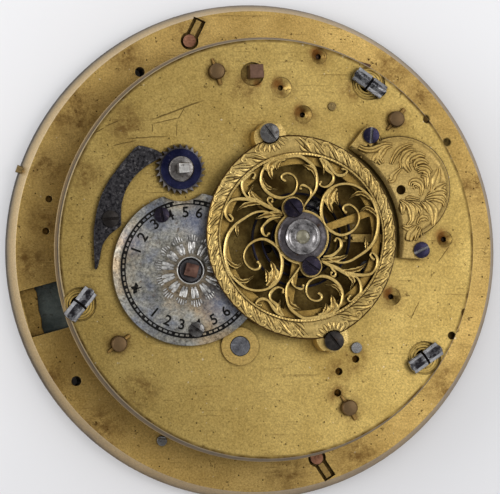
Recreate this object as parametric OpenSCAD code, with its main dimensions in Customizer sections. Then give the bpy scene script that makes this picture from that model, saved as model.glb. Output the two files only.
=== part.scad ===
// Pocket watch movement with fusee and verge, back upwards. Millimetres, +Z up.
// The origin is on the movement's axis at its dial side.

/* [Plates] */
// Radius of the pillar plate at its widest
pillar_plate_r = 22.5; // [21:0.1:25]
// Radius of the pillar plate's upper face
pillar_face_r = 21.8; // [20.5:0.1:25]
// Thickness of the pillar plate
pillar_plate_h = 3.4; // [3.2:0.05:3.8]
// Height of the space between the plates
plate_gap = 5.6; // [5.5:0.05:6]
// Radius of the top plate's upper face
top_plate_r = 18.67; // [18:0.01:20]
// Thickness of the top plate
top_plate_h = 1.4; // [1.2:0.05:1.8]
// Radius of the hollow on the dial side
hollow_r = 11.5; // [10.5:0.1:13]
// Depth of the hollow on the dial side
hollow_h = 1.5; // [1.4:0.05:1.6]
// Radius of a pillar at its waist
pillar_r = 0.85; // [0.6:0.05:0.9]

/* [Balance] */
// Outer radius of the balance
balance_r = 7.2; // [6.5:0.1:7.4]
// Width of the balance rim
balance_rim_w = 0.7; // [0.4:0.05:1]
// Inner radius of the bridge's ring
bridge_in_r = 7.3; // [7:0.05:7.6]
// Outer radius of the bridge's ring
bridge_out_r = 8.5; // [8.2:0.05:8.6]
// Height of the bridge above the top plate
bridge_h = 2.6; // [2.5:0.05:3]
// Thickness of the bridge's ring
bridge_t = 0.5; // [0.35:0.05:0.6]
// Turns of the balance spring
spring_turns = 4; // [3:0.25:5]
// Thickness of the balance spring
spring_t = 0.22; // [0.15:0.01:0.3]

/* [Regulator and cover] */
// Radius of the regulator dial
dial_r = 6.8; // [6.5:0.05:7.2]
// Height of the regulator dial
dial_h = 1.1; // [1:0.05:1.2]
// Side of the regulator's square
regulator_square = 1.27; // [1:0.01:1.4]
// Height of the slide cover
cover_h = 1; // [0.6:0.05:1.2]

/* [Train] */
// Teeth of the great wheel
great_teeth = 54; // [48:2:60]
// Leaves of the centre pinion
centre_leaves = 10; // [10:1:12]
// Teeth of the centre wheel
centre_teeth = 60; // [54:2:66]
// Leaves of the third, contrate and crown pinions
small_leaves = 6; // [6:1:7]
// Teeth of the third wheel
third_teeth = 54; // [48:2:60]
// Teeth of the contrate wheel
contrate_teeth = 48; // [44:2:52]
// Teeth of the crown wheel
crown_teeth = 13; // [11:2:15]
// Outer radius of the barrel
barrel_r = 7; // [6.5:0.1:7.2]
// Largest radius of the fusee
fusee_r = 5; // [4.5:0.1:5.2]
// Running clearance round a shaft
run_fit = 0.05; // [0.02:0.01:0.08]

/* [Hidden] */
$fn = 72;

function polar(r, a) = [r * cos(a), r * sin(a)];
function dist(p, q) = norm([q.x - p.x, q.y - p.y]);
function dir(p, q) = atan2(q.y - p.y, q.x - p.x);

// Places on the plates, in x and y
centre_at = [0, 0];
verge_at = [2.65, 0.98];
fusee_at = [-2.53, -8.67];
barrel_at = [-7.93, 7.01];
contrate_at = [11.24, -4.22];
third_at = polar(6.6, dir(centre_at, contrate_at));
minute_at = [0, 4.4];
dial_at = [-7.1, -1.98];
disc_at = [-7.2, -1.85];
click_at = [-14.19, 2.56];
cover_at = [11.75, 5.45];
repeat_a = [-1.2, 15.75];
repeat_b = [1.23, 14.39];
repeat_c = [3.21, 12];
hammer_at = [4.66, 17.22];
lever_at = [16.06, 0.94];
pillar_places = [[-4.63, 15.74], [11.6, 11.64], [7.31, -14.14], [-13.37, -8.48]];
pillar_pin_turns = [-72, 50, -58, 38];
key_places = [[9.15, 14.85], [-16.85, -5], [14.2, -9.7]];
key_turns = [-35, 52, 35];
dial_screw_places = [[-9.69, 2.92], [-6.57, -7.21]];
cover_screw_places = [[9.17, 10.14], [13.75, -0.07]];
top_hole_places = [[7.96, -9.8], [6.44, -10.91], [6.33, -12.82]];
edge_notch_places = [[14.47, 11.68], [16.34, 9.65], [17.94, -5.61], [16.7, -7.69]];
plate_hole_places = [[-10.54, 16.14], [-16.27, -11.76]];
foot_places = [[-6.01, 19.02], [5.68, -18.73]];
foot_turns = [64, -56];
small_hole_places = [[-18.78, 4.61], [-19.05, 1.72]];
bridge_axis = 107.5;
recess_turn = 195.5;

// Heights
top_z = pillar_plate_h + plate_gap;
plate_z = top_z + top_plate_h;
bridge_z = plate_z + bridge_h;
pocket_z = pillar_plate_h - 1;
// The recess at the rim ends inside both the plate's upper face and its widest line
recess_out = min(pillar_face_r, pillar_plate_r - 0.7);
dial_z = plate_z + dial_h;
crown_z = top_z - 2.4;
great_z = 4.3;
span_z = 6.6;

// Derived sizes of the train
great_r = dist(centre_at, fusee_at) * great_teeth / (great_teeth + centre_leaves);
centre_leaf_r = dist(centre_at, fusee_at) - great_r;
centre_r = dist(centre_at, third_at) * centre_teeth / (centre_teeth + small_leaves);
third_leaf_r = dist(centre_at, third_at) - centre_r;
third_r = dist(third_at, contrate_at) * third_teeth / (third_teeth + small_leaves);
contrate_leaf_r = dist(third_at, contrate_at) - third_r;
train_turn = dir(verge_at, contrate_at);
contrate_s = dist(verge_at, contrate_at);
contrate_r = 4.5;
crown_leaf_r = contrate_r * small_leaves / contrate_teeth;
crown_r = 2.2;
crown_s = 1.05;
rack_teeth = 66;
regulator_teeth = 15;
rack_r = dist(verge_at, dial_at) * rack_teeth / (rack_teeth + regulator_teeth);
regulator_r = dist(verge_at, dial_at) - rack_r;
groove_z = plate_z - 0.3;
repeat_a_teeth = 20;
repeat_b_teeth = 16;
repeat_c_leaves = 8;
repeat_a_r = dist(repeat_a, repeat_b) * repeat_a_teeth / (repeat_a_teeth + small_leaves);
repeat_b_leaf_r = dist(repeat_a, repeat_b) - repeat_a_r;
repeat_b_r = dist(repeat_b, repeat_c) * repeat_b_teeth / (repeat_b_teeth + repeat_c_leaves);
repeat_c_leaf_r = dist(repeat_b, repeat_c) - repeat_b_r;
motion_r = minute_at.y;

// Sizes of shafts and their holes
centre_shaft_r = 0.55;
top_pivot_r = 0.35;
small_pivot_r = 0.18;
small_shaft_r = 0.3;
fusee_low_r = 1;
fusee_top_r = 0.85;
barrel_shaft_r = 0.95;
barrel_low_r = 0.8;
key_stem_r = 0.7;
screw_shank_r = 0.4;
tenon_r = 0.7;
pin_r = 0.18;
pin_z = plate_z + pin_r;

module post(p, z, r, h) translate([p.x, p.y, z]) cylinder(r = r, h = h);

module tube(p, z, r, bore, h) translate([p.x, p.y, z]) difference() {
    cylinder(r = r, h = h);
    translate([0, 0, -1]) cylinder(r = bore, h = h + 2);
}

// A toothed outline whose tooth 0 points along turn
module teeth_2d(teeth, r, turn, wide = 0.23) {
    m = 2 * r / teeth;
    step = 360 / teeth;
    polygon([for (i = [0 : teeth - 1]) each [
        polar(r - 1.05 * m, turn + (i - wide) * step),
        polar(r + 0.75 * m, turn + (i - 0.09) * step),
        polar(r + 0.75 * m, turn + (i + 0.09) * step),
        polar(r - 1.05 * m, turn + (i + wide) * step)]]);
}

// The turn that puts a gap between teeth along the given direction
function gap_turn(teeth, toward) = toward + 180 / teeth;

module spoked_2d(rim_r, hub_r, arms, arm_w, turn = 0) difference() {
    circle(r = rim_r);
    circle(r = hub_r);
    for (i = [0 : arms - 1]) rotate(turn + i * 360 / arms) translate([0, -arm_w / 2])
        square([rim_r + 1, arm_w]);
}

module wheel(p, z, h, teeth, r, turn, bore, arms = 4) {
    m = 2 * r / teeth;
    translate([p.x, p.y, z]) linear_extrude(h) difference() {
        teeth_2d(teeth, r, turn);
        spoked_2d(r - 1.05 * m - 0.5, bore + 0.6, arms, 0.6);
        circle(r = bore);
    }
}

module plain_wheel(p, z, h, teeth, r, turn, bore) translate([p.x, p.y, z]) linear_extrude(h) difference() {
    teeth_2d(teeth, r, turn);
    circle(r = bore);
}

module leaves(p, z, h, teeth, r, turn) translate([p.x, p.y, z]) linear_extrude(h)
    teeth_2d(teeth, r, turn, 0.21);

// A slotted screw whose head stands on z
module screw(p, z, r, h, shank, turn = 30) translate([p.x, p.y, z]) difference() {
    union() {
        cylinder(r = r, h = h);
        translate([0, 0, -shank]) cylinder(r = screw_shank_r, h = shank + 0.1);
    }
    rotate([0, 0, turn]) translate([-r - 1, -0.11, h - 0.16]) cube([2 * r + 2, 0.22, 1]);
}

// x runs from the verge along the crown wheel's axis
module verge_frame() translate([verge_at.x, verge_at.y, 0]) rotate([0, 0, train_turn]) children();

module crown_frame() verge_frame() translate([0, 0, crown_z]) rotate([0, 90, 0]) children();

module recess_frame() rotate([0, 0, recess_turn]) children();

// x runs from a dial foot to the rim, along the slot in which its pin lies
module foot_frame(i) translate([foot_places[i].x, foot_places[i].y, pillar_plate_h - 0.8])
    rotate([0, 0, foot_turns[i]]) children();

// A stud that stands out of the pillar plate's rim
module rim_stud(r, h) rotate([0, 0, 161]) translate([pillar_plate_r - 1.55, 0, pillar_plate_h / 2])
    rotate([0, 90, 0]) cylinder(r = r, h = h);

module pillar_plate() color("goldenrod") {
    difference() {
        union() {
            cylinder(r1 = pillar_plate_r - 0.2, r2 = pillar_plate_r, h = 1);
            translate([0, 0, 1]) cylinder(r = pillar_plate_r, h = 0.4);
            translate([0, 0, 1.4])
                cylinder(r1 = pillar_plate_r, r2 = pillar_face_r, h = pillar_plate_h - 1.4);
        }
        post(centre_at, -1, hollow_r, hollow_h + 1);
        post(centre_at, pocket_z, centre_r + 0.4, 2);
        post(third_at, pocket_z, third_leaf_r + 0.4, 2);
        post(centre_at, -1, centre_shaft_r + run_fit, 6);
        post(third_at, -1, small_pivot_r + run_fit, 6);
        post(contrate_at, 2.5, small_pivot_r + run_fit, 2);
        post(fusee_at, -1, fusee_low_r + run_fit, 6);
        post(barrel_at, -1, barrel_low_r + run_fit, 6);
        for (p = [repeat_a, repeat_b, repeat_c, lever_at, hammer_at])
            post(p, 2.4, small_shaft_r + run_fit, 2);
        for (p = pillar_places) post(p, 1.8, pillar_r + 0.02, 3);
        for (p = plate_hole_places) post(p, -1, 0.45, 6);
        for (p = small_hole_places) post(p, 2.2, 0.32, 6);
        post([-8.54, -17.16], 2.4, 0.46, 2);
        rim_stud(0.36, 4);
        recess_frame() {
            translate([16.6, -2.15, 1.7]) cube([recess_out - 16.75, 4.3, 3]);
            translate([16.6, -2.15, -1]) cube([recess_out - 17.35, 4.3, 6]);
            translate([15.8, -2.6, -1]) cube([recess_out - 15.9, 5.2, 1.6]);
        }
        for (i = [0, 1]) foot_frame(i) {
            cylinder(r = 0.82, h = 3);
            translate([0, -0.58, 0]) cube([2.2, 1.16, 3]);
        }
    }
    post(minute_at, 0.35, small_shaft_r, hollow_h - 0.3);
}

module pillar_shape() {
    translate([0, 0, 1.85]) cylinder(r = pillar_r, h = pillar_plate_h - 1.8);
    translate([0, 0, pillar_plate_h]) cylinder(r = pillar_r + 0.3, h = 0.6);
    translate([0, 0, pillar_plate_h + 0.5]) cylinder(r = pillar_r, h = plate_gap - 1);
    translate([0, 0, top_z - 0.6]) cylinder(r = pillar_r + 0.3, h = 0.6);
    translate([0, 0, top_z - 0.1]) cylinder(r = tenon_r, h = top_plate_h + 0.95);
}

module pillars() color("goldenrod") for (i = [0 : 3]) translate(pillar_places[i]) difference() {
    pillar_shape();
    translate([0, 0, pin_z]) rotate([0, 0, pillar_pin_turns[i]]) rotate([0, 90, 0])
        cylinder(r = pin_r + 0.01, h = 4, center = true);
}

module pillar_pins() color("darkgoldenrod") for (i = [0 : 3])
    translate([pillar_places[i].x, pillar_places[i].y, pin_z]) rotate([0, 0, pillar_pin_turns[i]])
        rotate([0, 90, 0]) cylinder(r = pin_r, h = 2.5, center = true);

// A cone with a low wall, sunk into the top plate round a pivot's hole
module oil_sink(p, r) {
    translate([p.x, p.y, plate_z - 0.45]) cylinder(r1 = small_pivot_r + run_fit, r2 = r, h = 0.35);
    post(p, plate_z - 0.11, r, 2);
}

module top_plate() color("gold") difference() {
    translate([0, 0, top_z]) cylinder(r1 = top_plate_r + 0.3, r2 = top_plate_r, h = top_plate_h);
    tube(verge_at, groove_z, rack_r + 0.26, rack_r - 0.75, 2);
    post(verge_at, 0, 0.75, 20);
    post(centre_at, 0, top_pivot_r + run_fit, 20);
    for (p = [third_at, contrate_at, repeat_b, repeat_c, lever_at, hammer_at])
        post(p, 0, small_pivot_r + run_fit, 20);
    oil_sink(contrate_at, 0.8);
    oil_sink(repeat_b, 0.94);
    oil_sink(repeat_c, 0.83);
    oil_sink(lever_at, 0.7);
    oil_sink(hammer_at, 0.7);
    post(repeat_a, 0, top_pivot_r + run_fit, 20);
    post(repeat_a - [0.17, 0.18], plate_z - 0.4, 1.05, 2);
    post(fusee_at, 0, 1.2, 20);
    post(barrel_at, 0, barrel_shaft_r + run_fit, 20);
    post(dial_at, plate_z - 0.9, 0.5 + run_fit, 2);
    for (p = key_places) {
        post(p, 0, key_stem_r + run_fit, 20);
        post(p, plate_z - 0.3, 1.5, 2);
    }
    for (p = pillar_places) post(p, 0, tenon_r + 0.01, 20);
    for (p = concat(dial_screw_places, cover_screw_places, [click_at]))
        post(p, plate_z - 1, screw_shank_r, 2);
    for (a = [0, 180]) post(verge_at + polar(9.65, bridge_axis + a), plate_z - 1, screw_shank_r, 2);
    for (p = top_hole_places) post(p, 0, 0.33, 20);
    for (p = edge_notch_places) post(p, plate_z - 0.9, 0.34, 2);
    post([5.81, 12.75], plate_z - 0.8, 0.36, 2);
    post([8, -8.8], plate_z - 0.8, 0.48, 2);
    verge_frame() for (p = [[-0.1, 3.2], [6.85, 1.05]]) {
        post(p, 0, screw_shank_r, 20);
        post(p, plate_z - 0.45, 0.75, 2);
    }
}

// A smooth line through the points p, with n steps from each to the next
function spline(p, n) = let (q = concat([2 * p[0] - p[1]], p, [2 * p[len(p) - 1] - p[len(p) - 2]]))
    concat([for (i = [1 : len(q) - 3]) for (k = [0 : n - 1])
        let (t = k / n, a = q[i - 1], b = q[i], c = q[i + 1], d = q[i + 2])
        (2 * b + (c - a) * t + (2 * a - 5 * b + 4 * c - d) * t * t
            + (3 * b - a - 3 * c + d) * t * t * t) / 2],
        [p[len(p) - 1]]);

// The point beside point i of a line, w to its left
function beside(line, i, w) =
    let (d = line[min(i + 1, len(line) - 1)] - line[max(i - 1, 0)]) line[i] + [-d.y, d.x] * w / norm(d);

// The width at share t of a stroke, from the widths at its start, middle and end
function stroke_w(w, t) = t < 0.5 ? w[0] + (w[1] - w[0]) * 2 * t : w[1] + (w[2] - w[1]) * (2 * t - 1);

module stroke_2d(w, p) {
    line = spline(p, 3);
    n = len(line) - 1;
    polygon(concat([for (i = [0 : n]) beside(line, i, stroke_w(w, i / n) / 2)],
        [for (i = [n : -1 : 0]) beside(line, i, -stroke_w(w, i / n) / 2)]));
}

// Half of the bridge's scrolls and leaves; the other half is the same, turned half round
module half_scrolls_2d() {
    stroke_2d([0.3, 0.34, 0.22], [[0.1, 2.4], [1.26, 4.22], [1.38, 5.11], [1.11, 6.17], [0.5, 6.78],
        [-0.27, 7.19], [-1.37, 7.07], [-2.94, 6.55], [-3.66, 5.19], [-3.01, 3.91], [-1.64, 3.46],
        [-0.5, 4.22], [-0.72, 5.43], [-1.26, 5.65], [-1.72, 5.45], [-1.78, 5.05]]);
    stroke_2d([0.5, 1, 0.1], [[-1.53, 7.04], [-2.4, 6.75], [-2.86, 6.25], [-2.82, 5.72], [-2.67, 5.11]]);
    stroke_2d([0.34, 0.5, 0.08], [[-1.97, 6.75], [-2.23, 6.29], [-2.17, 5.88]]);
    stroke_2d([0.2, 0.36, 0.08], [[-3.54, 5.16], [-3.24, 4.56], [-2.71, 4.25], [-2.17, 4.22]]);
    stroke_2d([0.2, 0.5, 0.08], [[1.24, 5.31], [1.03, 5.93], [0.52, 6.25], [0.1, 6.39]]);
    stroke_2d([0.24, 0.28, 0.16], [[0.8, 3.62], [0.84, 4.07], [0.57, 4.4], [0.11, 4.6], [-0.2, 4.4]]);
    stroke_2d([0.3, 0.34, 0.22], [[1.9, -1.6], [3.39, -2.25], [4.31, -2.11], [5.98, -1.02], [6.9, 1.23],
        [6.45, 3.17], [5.14, 4.45], [3.32, 4.67], [2.02, 3.62], [1.78, 1.92], [2.47, 0.66], [4.08, 0.3],
        [5.14, 1.43], [4.84, 2.57], [4.31, 2.9], [3.82, 2.75], [3.74, 2.4]]);
    stroke_2d([0.45, 0.95, 0.1], [[3.05, 4.39], [2.56, 3.68], [2.48, 2.93], [2.77, 2.15]]);
    stroke_2d([0.3, 0.5, 0.08], [[3.1, 3.99], [3.05, 3.37], [3.31, 2.86]]);
    stroke_2d([0.3, 0.42, 0.08], [[6.16, 3.47], [5.45, 3.93], [4.84, 3.84], [4.3, 3.47]]);
    stroke_2d([0.3, 0.42, 0.1], [[6.83, 1.94], [6.22, 2.48], [5.75, 2.62], [5.28, 2.3]]);
    stroke_2d([0.16, 0.36, 0.08], [[5.8, -1.18], [5.82, -0.61], [5.71, 0.1]]);
    stroke_2d([0.45, 0.3, 0.2], [[-1.6, 1.9], [-2.59, 2.5], [-4.16, 3.31], [-4.92, 3.54], [-5.28, 4.14],
        [-5.31, 4.87], [-4.85, 5.4], [-4.41, 5.69], [-4.16, 5.5], [-4.35, 5.19]]);
    stroke_2d([0.32, 0.3, 0.22], [[-3.52, 2.91], [-4.46, 3.24], [-5.38, 3.35], [-6.21, 3.24], [-6.63, 2.81],
        [-6.75, 1.74], [-6.37, 1.36], [-6.18, 1.58], [-6.45, 1.94]]);
    stroke_2d([0.2, 0.24, 0.16], [[-2.48, 2.35], [-2.78, 2.86], [-3.05, 3.17], [-2.94, 3.46], [-2.63, 3.39],
        [-2.67, 3.13]]);
    stroke_2d([0.34, 0.46, 0.06], [[-3.73, 3.01], [-4.66, 2.93], [-5.3, 2.71], [-5.8, 2.3]]);
    stroke_2d([0.45, 0.42, 0.06], [[-4.04, 3.17], [-4.55, 3.68], [-4.61, 3.99], [-4.33, 4.6]]);
    stroke_2d([0.3, 0.62, 0.1], [[-1.6, 1.9], [-2.69, 2.02], [-3.39, 1.88], [-4.14, 1.59]]);
    stroke_2d([0.3, 0.32, 0.2], [[-1.7, 1.6], [-2.71, 1.61], [-3.24, 1.21], [-3.55, 0.76], [-3.47, 0.3],
        [-3.17, 0.07], [-2.97, 0.3]]);
    stroke_2d([0.36, 0.3, 0.18], [[1.6, 7.25], [2.17, 6.7], [2.56, 6.25], [2.94, 5.72], [3.32, 5.5],
        [3.78, 5.54], [4.08, 5.84], [3.9, 6.15]]);
    stroke_2d([0.36, 0.3, 0.2], [[1.55, 7.25], [2.02, 6.4], [2.33, 5.95], [2.78, 5.57], [2.86, 5.12],
        [2.56, 4.67], [2.1, 4.45], [1.66, 4.6], [1.7, 4.89]]);
    stroke_2d([0.3, 0.4, 0.08], [[1.65, 7.2], [2.07, 6.44], [1.95, 5.57]]);
}

// The ring is an oval of two arcs, longest through the two screws that hold it down
module bridge_2d() difference() {
    union() {
        difference() {
            intersection_for (k = [-1, 1]) rotate(bridge_axis) translate([0, 0.8 * k])
                circle(r = bridge_out_r + 0.8);
            circle(r = bridge_in_r);
        }
        intersection() {
            circle(r = bridge_in_r + 0.2);
            for (a = [0, 180]) rotate(a) half_scrolls_2d();
        }
        circle(r = 2.65);
        for (a = [0, 180]) translate(polar(2.7, bridge_axis + a)) circle(r = 1.15);
    }
    circle(r = 0.2);
    for (a = [0, 180]) translate(polar(2.7, bridge_axis + a)) circle(r = screw_shank_r);
}

bridge_screw_z = bridge_z - 0.25;
module balance_bridge() color("gold") translate([verge_at.x, verge_at.y, 0]) difference() {
    union() {
        translate([0, 0, bridge_z - bridge_t]) linear_extrude(bridge_t) bridge_2d();
        for (a = [0, 180]) rotate([0, 0, bridge_axis + a]) {
            intersection() {
                tube([0, 0], plate_z, 10.3, rack_r + 0.3, bridge_screw_z - plate_z);
                post([9.3, 0], plate_z, 1.45, bridge_screw_z - plate_z);
            }
            post([9.65, 0], plate_z, 0.98, bridge_screw_z - plate_z);
        }
    }
    for (a = [0, 180]) {
        post(polar(9.65, bridge_axis + a), 0, screw_shank_r, 20);
        post(polar(9.65, bridge_axis + a), bridge_screw_z, 0.92, 2);
    }
}

module bridge_screws() color("steelblue") for (a = [0, 180])
    screw(verge_at + polar(9.65, bridge_axis + a), bridge_screw_z, 0.86, 0.45, bridge_screw_z - plate_z + 0.9,
        bridge_axis + 40 + a / 2);

module end_plate() color("silver") translate([verge_at.x, verge_at.y, bridge_z]) difference() {
    union() {
        cylinder(r = 2.2, h = 0.45);
        cylinder(r = 1.57, h = 0.75);
    }
    translate([0, 0, 0.3]) cylinder(r = 0.62, h = 1);
    translate([0, 0, -1]) cylinder(r = 0.2, h = 3);
    for (a = [0, 180]) translate(polar(2.7, bridge_axis + a)) translate([0, 0, -1]) cylinder(r = 0.87, h = 3);
}

module end_stone() color("mistyrose") post(verge_at, bridge_z + 0.3, 0.62, 0.38);

module end_plate_screws() color("darkslateblue") for (a = [0, 180])
    screw(verge_at + polar(2.7, bridge_axis + a), bridge_z, 0.85, 0.5, bridge_t - 0.05, 20 + a / 3);

module regulator_dial() color("lightgray") difference() {
    union() {
        difference() {
            post(disc_at, plate_z, dial_r, dial_h);
            post(disc_at, plate_z - 1, dial_r - 0.6, dial_h + 0.5);
            post(verge_at, plate_z - 1, rack_r + 0.45, dial_h + 0.5);
        }
        for (p = dial_screw_places) post(p, plate_z, 1, dial_h);
    }
    post(verge_at, plate_z - 1, 7.6, 4);
    post(barrel_at, plate_z - 1, 2.87, 4);
    post(fusee_at, plate_z - 1, 1.78, 1.42);
    post(dial_at, plate_z - 1, 1 + run_fit, 4);
    for (p = dial_screw_places) post(p, plate_z - 1, screw_shank_r, 4);
}

module regulator_dial_screws() color("slateblue") for (i = [0, 1])
    screw(dial_screw_places[i], dial_z, 0.67, 0.3, dial_h + 0.9, 100 + 45 * i);

module slide_cover() color("gold") difference() {
    union() {
        post(cover_at, plate_z, 4.65, cover_h);
        for (p = cover_screw_places) post(p, plate_z, 0.85, cover_h);
        translate([0, 0, plate_z]) linear_extrude(cover_h) polygon([[7.25, 9.1], [8.5, 10.7], [10, 10],
            [12, 8], [13.5, 3], [14.2, 0.9], [13.6, -0.87], [11.5, -0.75], [9.5, 4]]);
    }
    post(verge_at, plate_z - 1, 9.1, 4);
    for (p = cover_screw_places) post(p, plate_z - 1, screw_shank_r, 4);
    post([11.9, 5.29], plate_z - 1, 0.42, 4);
}

module slide_cover_screws() color("midnightblue") for (i = [0, 1])
    screw(cover_screw_places[i], plate_z + cover_h, 0.72, 0.3, cover_h + 0.9, 85 - 60 * i);

module potence() color("gold") verge_frame() difference() {
    union() {
        translate([-1, 2.5, 3.85]) cube([1.95, 1.4, top_z - 3.85]);
        translate([-1.3, 2.4, top_z - 0.6]) cube([2.25, 2, 0.6]);
        translate([-0.8, -0.7, 3.85]) cube([1.6, 3.3, 0.45]);
        translate([0.45, -0.45, crown_z - 0.45]) cube([0.5, 3, 0.9]);
        translate([0.45, 0, crown_z]) rotate([0, 90, 0]) cylinder(r = 0.45, h = 1.05);
    }
    translate([0, 0, 3]) cylinder(r = 0.13 + run_fit, h = 2);
    translate([0.7, 0, crown_z]) rotate([0, 90, 0]) cylinder(r = 0.12 + run_fit, h = 2);
    translate([-0.1, 3.2, 7.5]) cylinder(r = screw_shank_r, h = 3);
}

module potence_screw() color("slategray") verge_frame() screw([-0.1, 3.2], plate_z - 0.45, 0.74, 0.4, 2.4);

module counter_potence() color("gold") verge_frame() difference() {
    union() {
        translate([6.25, -0.6, 5.9]) cube([0.7, 1.2, top_z - 5.9]);
        translate([6.25, -1.7, top_z - 0.6]) cube([1.3, 3.4, 0.6]);
    }
    translate([6, 0, crown_z]) rotate([0, 90, 0]) cylinder(r = 0.12 + run_fit, h = 2);
    translate([6.85, 1.05, 7]) cylinder(r = screw_shank_r, h = 3);
}

module counter_potence_screw() color("slategray") verge_frame()
    screw([6.85, 1.05], plate_z - 0.45, 0.74, 0.4, 1.5);

module fusee_bush() color("goldenrod") translate([fusee_at.x, fusee_at.y, 0]) difference() {
    union() {
        translate([0, 0, top_z + 0.1]) cylinder(r = 1.2, h = top_plate_h - 0.05);
        translate([0, 0, plate_z]) cylinder(r = 1.68, h = 0.3);
    }
    cylinder(r = fusee_top_r + run_fit, h = 20);
}

module click_screw() color("dimgray") screw(click_at, plate_z + 0.62, 0.73, 0.3, 1.5, 10);

// Points of a flat spiral, with the turn counted from its inner end
function spiral_point(r0, r1, turns, start, step, i) =
    polar(r0 + (r1 - r0) * i / (turns * step), start + 360 * i / step);

// A flat spiral band of thickness t, as one outline
module spiral_2d(r0, r1, turns, start, t, step) {
    n = turns * step;
    polygon(concat(
        [for (i = [0 : n]) spiral_point(r0 - t / 2, r1 - t / 2, turns, start, step, i)],
        [for (i = [n : -1 : 0]) spiral_point(r0 + t / 2, r1 + t / 2, turns, start, step, i)]));
}

spring_in_r = 1.18;
spring_out_r = 4.75;
stud_turn = 60;
spring_start = stud_turn - 360 * spring_turns;
spring_step = 32;
spring_points = [for (i = [0 : spring_turns * spring_step])
    spiral_point(spring_in_r, spring_out_r, spring_turns, spring_start, spring_step, i)];
spring_last = len(spring_points) - 1;
spring_gap = min([for (i = [0 : spring_last]) for (j = [i + spring_step / 2 : 1 : spring_last])
    norm(spring_points[i] - spring_points[j])]) - spring_t;
echo(balance_spring_turns = spring_turns, least_gap_mm = spring_gap);

module balance_spring() color("steelblue") translate([verge_at.x, verge_at.y, plate_z + 0.55])
    linear_extrude(0.35)
        spiral_2d(spring_in_r, spring_out_r, spring_turns, spring_start, spring_t, spring_step);

module spring_stud() color("slategray") translate([verge_at.x, verge_at.y, plate_z]) rotate([0, 0, stud_turn])
    translate([spring_out_r - 0.4, 0, 0]) cube([0.8, 0.8, 1]);

module plate_pins() color("slategray") {
    post([5.81, 12.75], plate_z - 0.8, 0.36, 1);
    post([8, -8.8], plate_z - 0.8, 0.48, 1.1);
    post([-8.54, -17.16], 2.4, 0.45, pillar_plate_h - 2.1);
    rim_stud(0.35, 1.85);
}

module recess_leaf() color("darkslategray") recess_frame()
    translate([15.82, -2.58, 0.15]) cube([recess_out - 15.94, 5.16, 0.45]);

module dial_foot_ends() color("peru") for (i = [0, 1]) foot_frame(i) cylinder(r = 0.58, h = 0.7);

module dial_foot_pins() color("goldenrod") for (i = [0, 1]) foot_frame(i)
    translate([0.62, -0.26, 0]) cube([1.45, 0.52, 0.6]);

// The fusee's radius at a height
function cone_r(z) = fusee_r - (z - great_z - 0.65) * 0.5;

chain_t = 0.3;
chain_h = 0.36;
chain_pitch = 0.85;
chain_step = 30;
chain_fusee_r = cone_r(span_z) + 0.2;
chain_barrel_r = barrel_r + 0.1;
chain_turn = dir(fusee_at, barrel_at)
    + acos((chain_fusee_r - chain_barrel_r) / dist(fusee_at, barrel_at));
// Each row is the centre of a winding, its radius, its turn and its height
chain_rows = concat(
    [for (i = [round(1.6 * chain_step) : -1 : 0]) let (a = i / chain_step, z = span_z - a * chain_pitch)
        [fusee_at, cone_r(z) + 0.2, chain_turn + 360 * a, z]],
    [for (i = [0 : 2 * chain_step]) let (a = i / chain_step)
        [barrel_at, chain_barrel_r, chain_turn - 360 * a, span_z - a * chain_pitch]]);
function chain_corner(row, out, up) =
    let (p = row[0] + polar(row[1] + out, row[2])) [p.x, p.y, row[3] + up];
chain_points = [for (row = chain_rows) each [
    chain_corner(row, 0, -chain_h / 2), chain_corner(row, chain_t, -chain_h / 2),
    chain_corner(row, chain_t, chain_h / 2), chain_corner(row, 0, chain_h / 2)]];
chain_middles = [for (row = chain_rows) chain_corner(row, chain_t / 2, 0)];
chain_last = len(chain_middles) - 1;
chain_gap = min([for (i = [0 : chain_last]) for (j = [i + chain_step / 2 : 1 : chain_last])
    norm(chain_middles[i] - chain_middles[j])]) - chain_h;
echo(chain_turns = 3.6, least_gap_mm = chain_gap);

module fusee_chain() color("dimgray") polyhedron(chain_points, concat(
    [[0, 1, 2, 3]],
    [for (i = [0 : len(chain_rows) - 2]) for (k = [0 : 3])
        [4 * i + k, 4 * i + 4 + k, 4 * i + 4 + (k + 1) % 4, 4 * i + (k + 1) % 4]],
    [[for (k = [3 : -1 : 0]) 4 * (len(chain_rows) - 1) + k]]));

module great_wheel() color("gold")
    wheel(fusee_at, great_z, 0.5, great_teeth, great_r, dir(fusee_at, centre_at), 1.12, 5);

module fusee_cone() color("goldenrod") translate([fusee_at.x, fusee_at.y, 0]) rotate_extrude() polygon([
    [1.12, great_z + 0.5], [fusee_r + 0.5, great_z + 0.5], [fusee_r + 0.5, great_z + 0.62],
    [fusee_r, great_z + 0.65], [cone_r(8.4), 8.4], [cone_r(8.4) - 0.5, 8.55], [1.12, 8.55]]);

module fusee_arbor() color("silver") translate([fusee_at.x, fusee_at.y, 0]) {
    translate([-0.7, -0.7, 0.2]) cube([1.4, 1.4, 1.3]);
    translate([0, 0, 1.4]) cylinder(r = fusee_low_r, h = 2.1);
    translate([0, 0, 3.45]) cylinder(r = 1.11, h = 5.35);
    translate([0, 0, 8.7]) cylinder(r = fusee_top_r, h = plate_z - 8.7 + 0.35);
}

module barrel_drum() color("gold") translate([barrel_at.x, barrel_at.y, 4]) difference() {
    cylinder(r = barrel_r, h = 4.3);
    translate([0, 0, 0.4]) cylinder(r = barrel_r - 0.5, h = 5);
    translate([0, 0, 3.9]) cylinder(r = barrel_r - 0.25, h = 5);
    translate([0, 0, -1]) cylinder(r = 1 + run_fit, h = 5);
}

module barrel_cap() color("goldenrod") tube(barrel_at, 7.9, barrel_r - 0.27, 1 + run_fit, 0.4);

module mainspring() color("steelblue") translate([barrel_at.x, barrel_at.y, 4.6]) linear_extrude(3)
    spiral_2d(1.68, barrel_r - 0.62, 6, 0, 0.2, 24);

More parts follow.
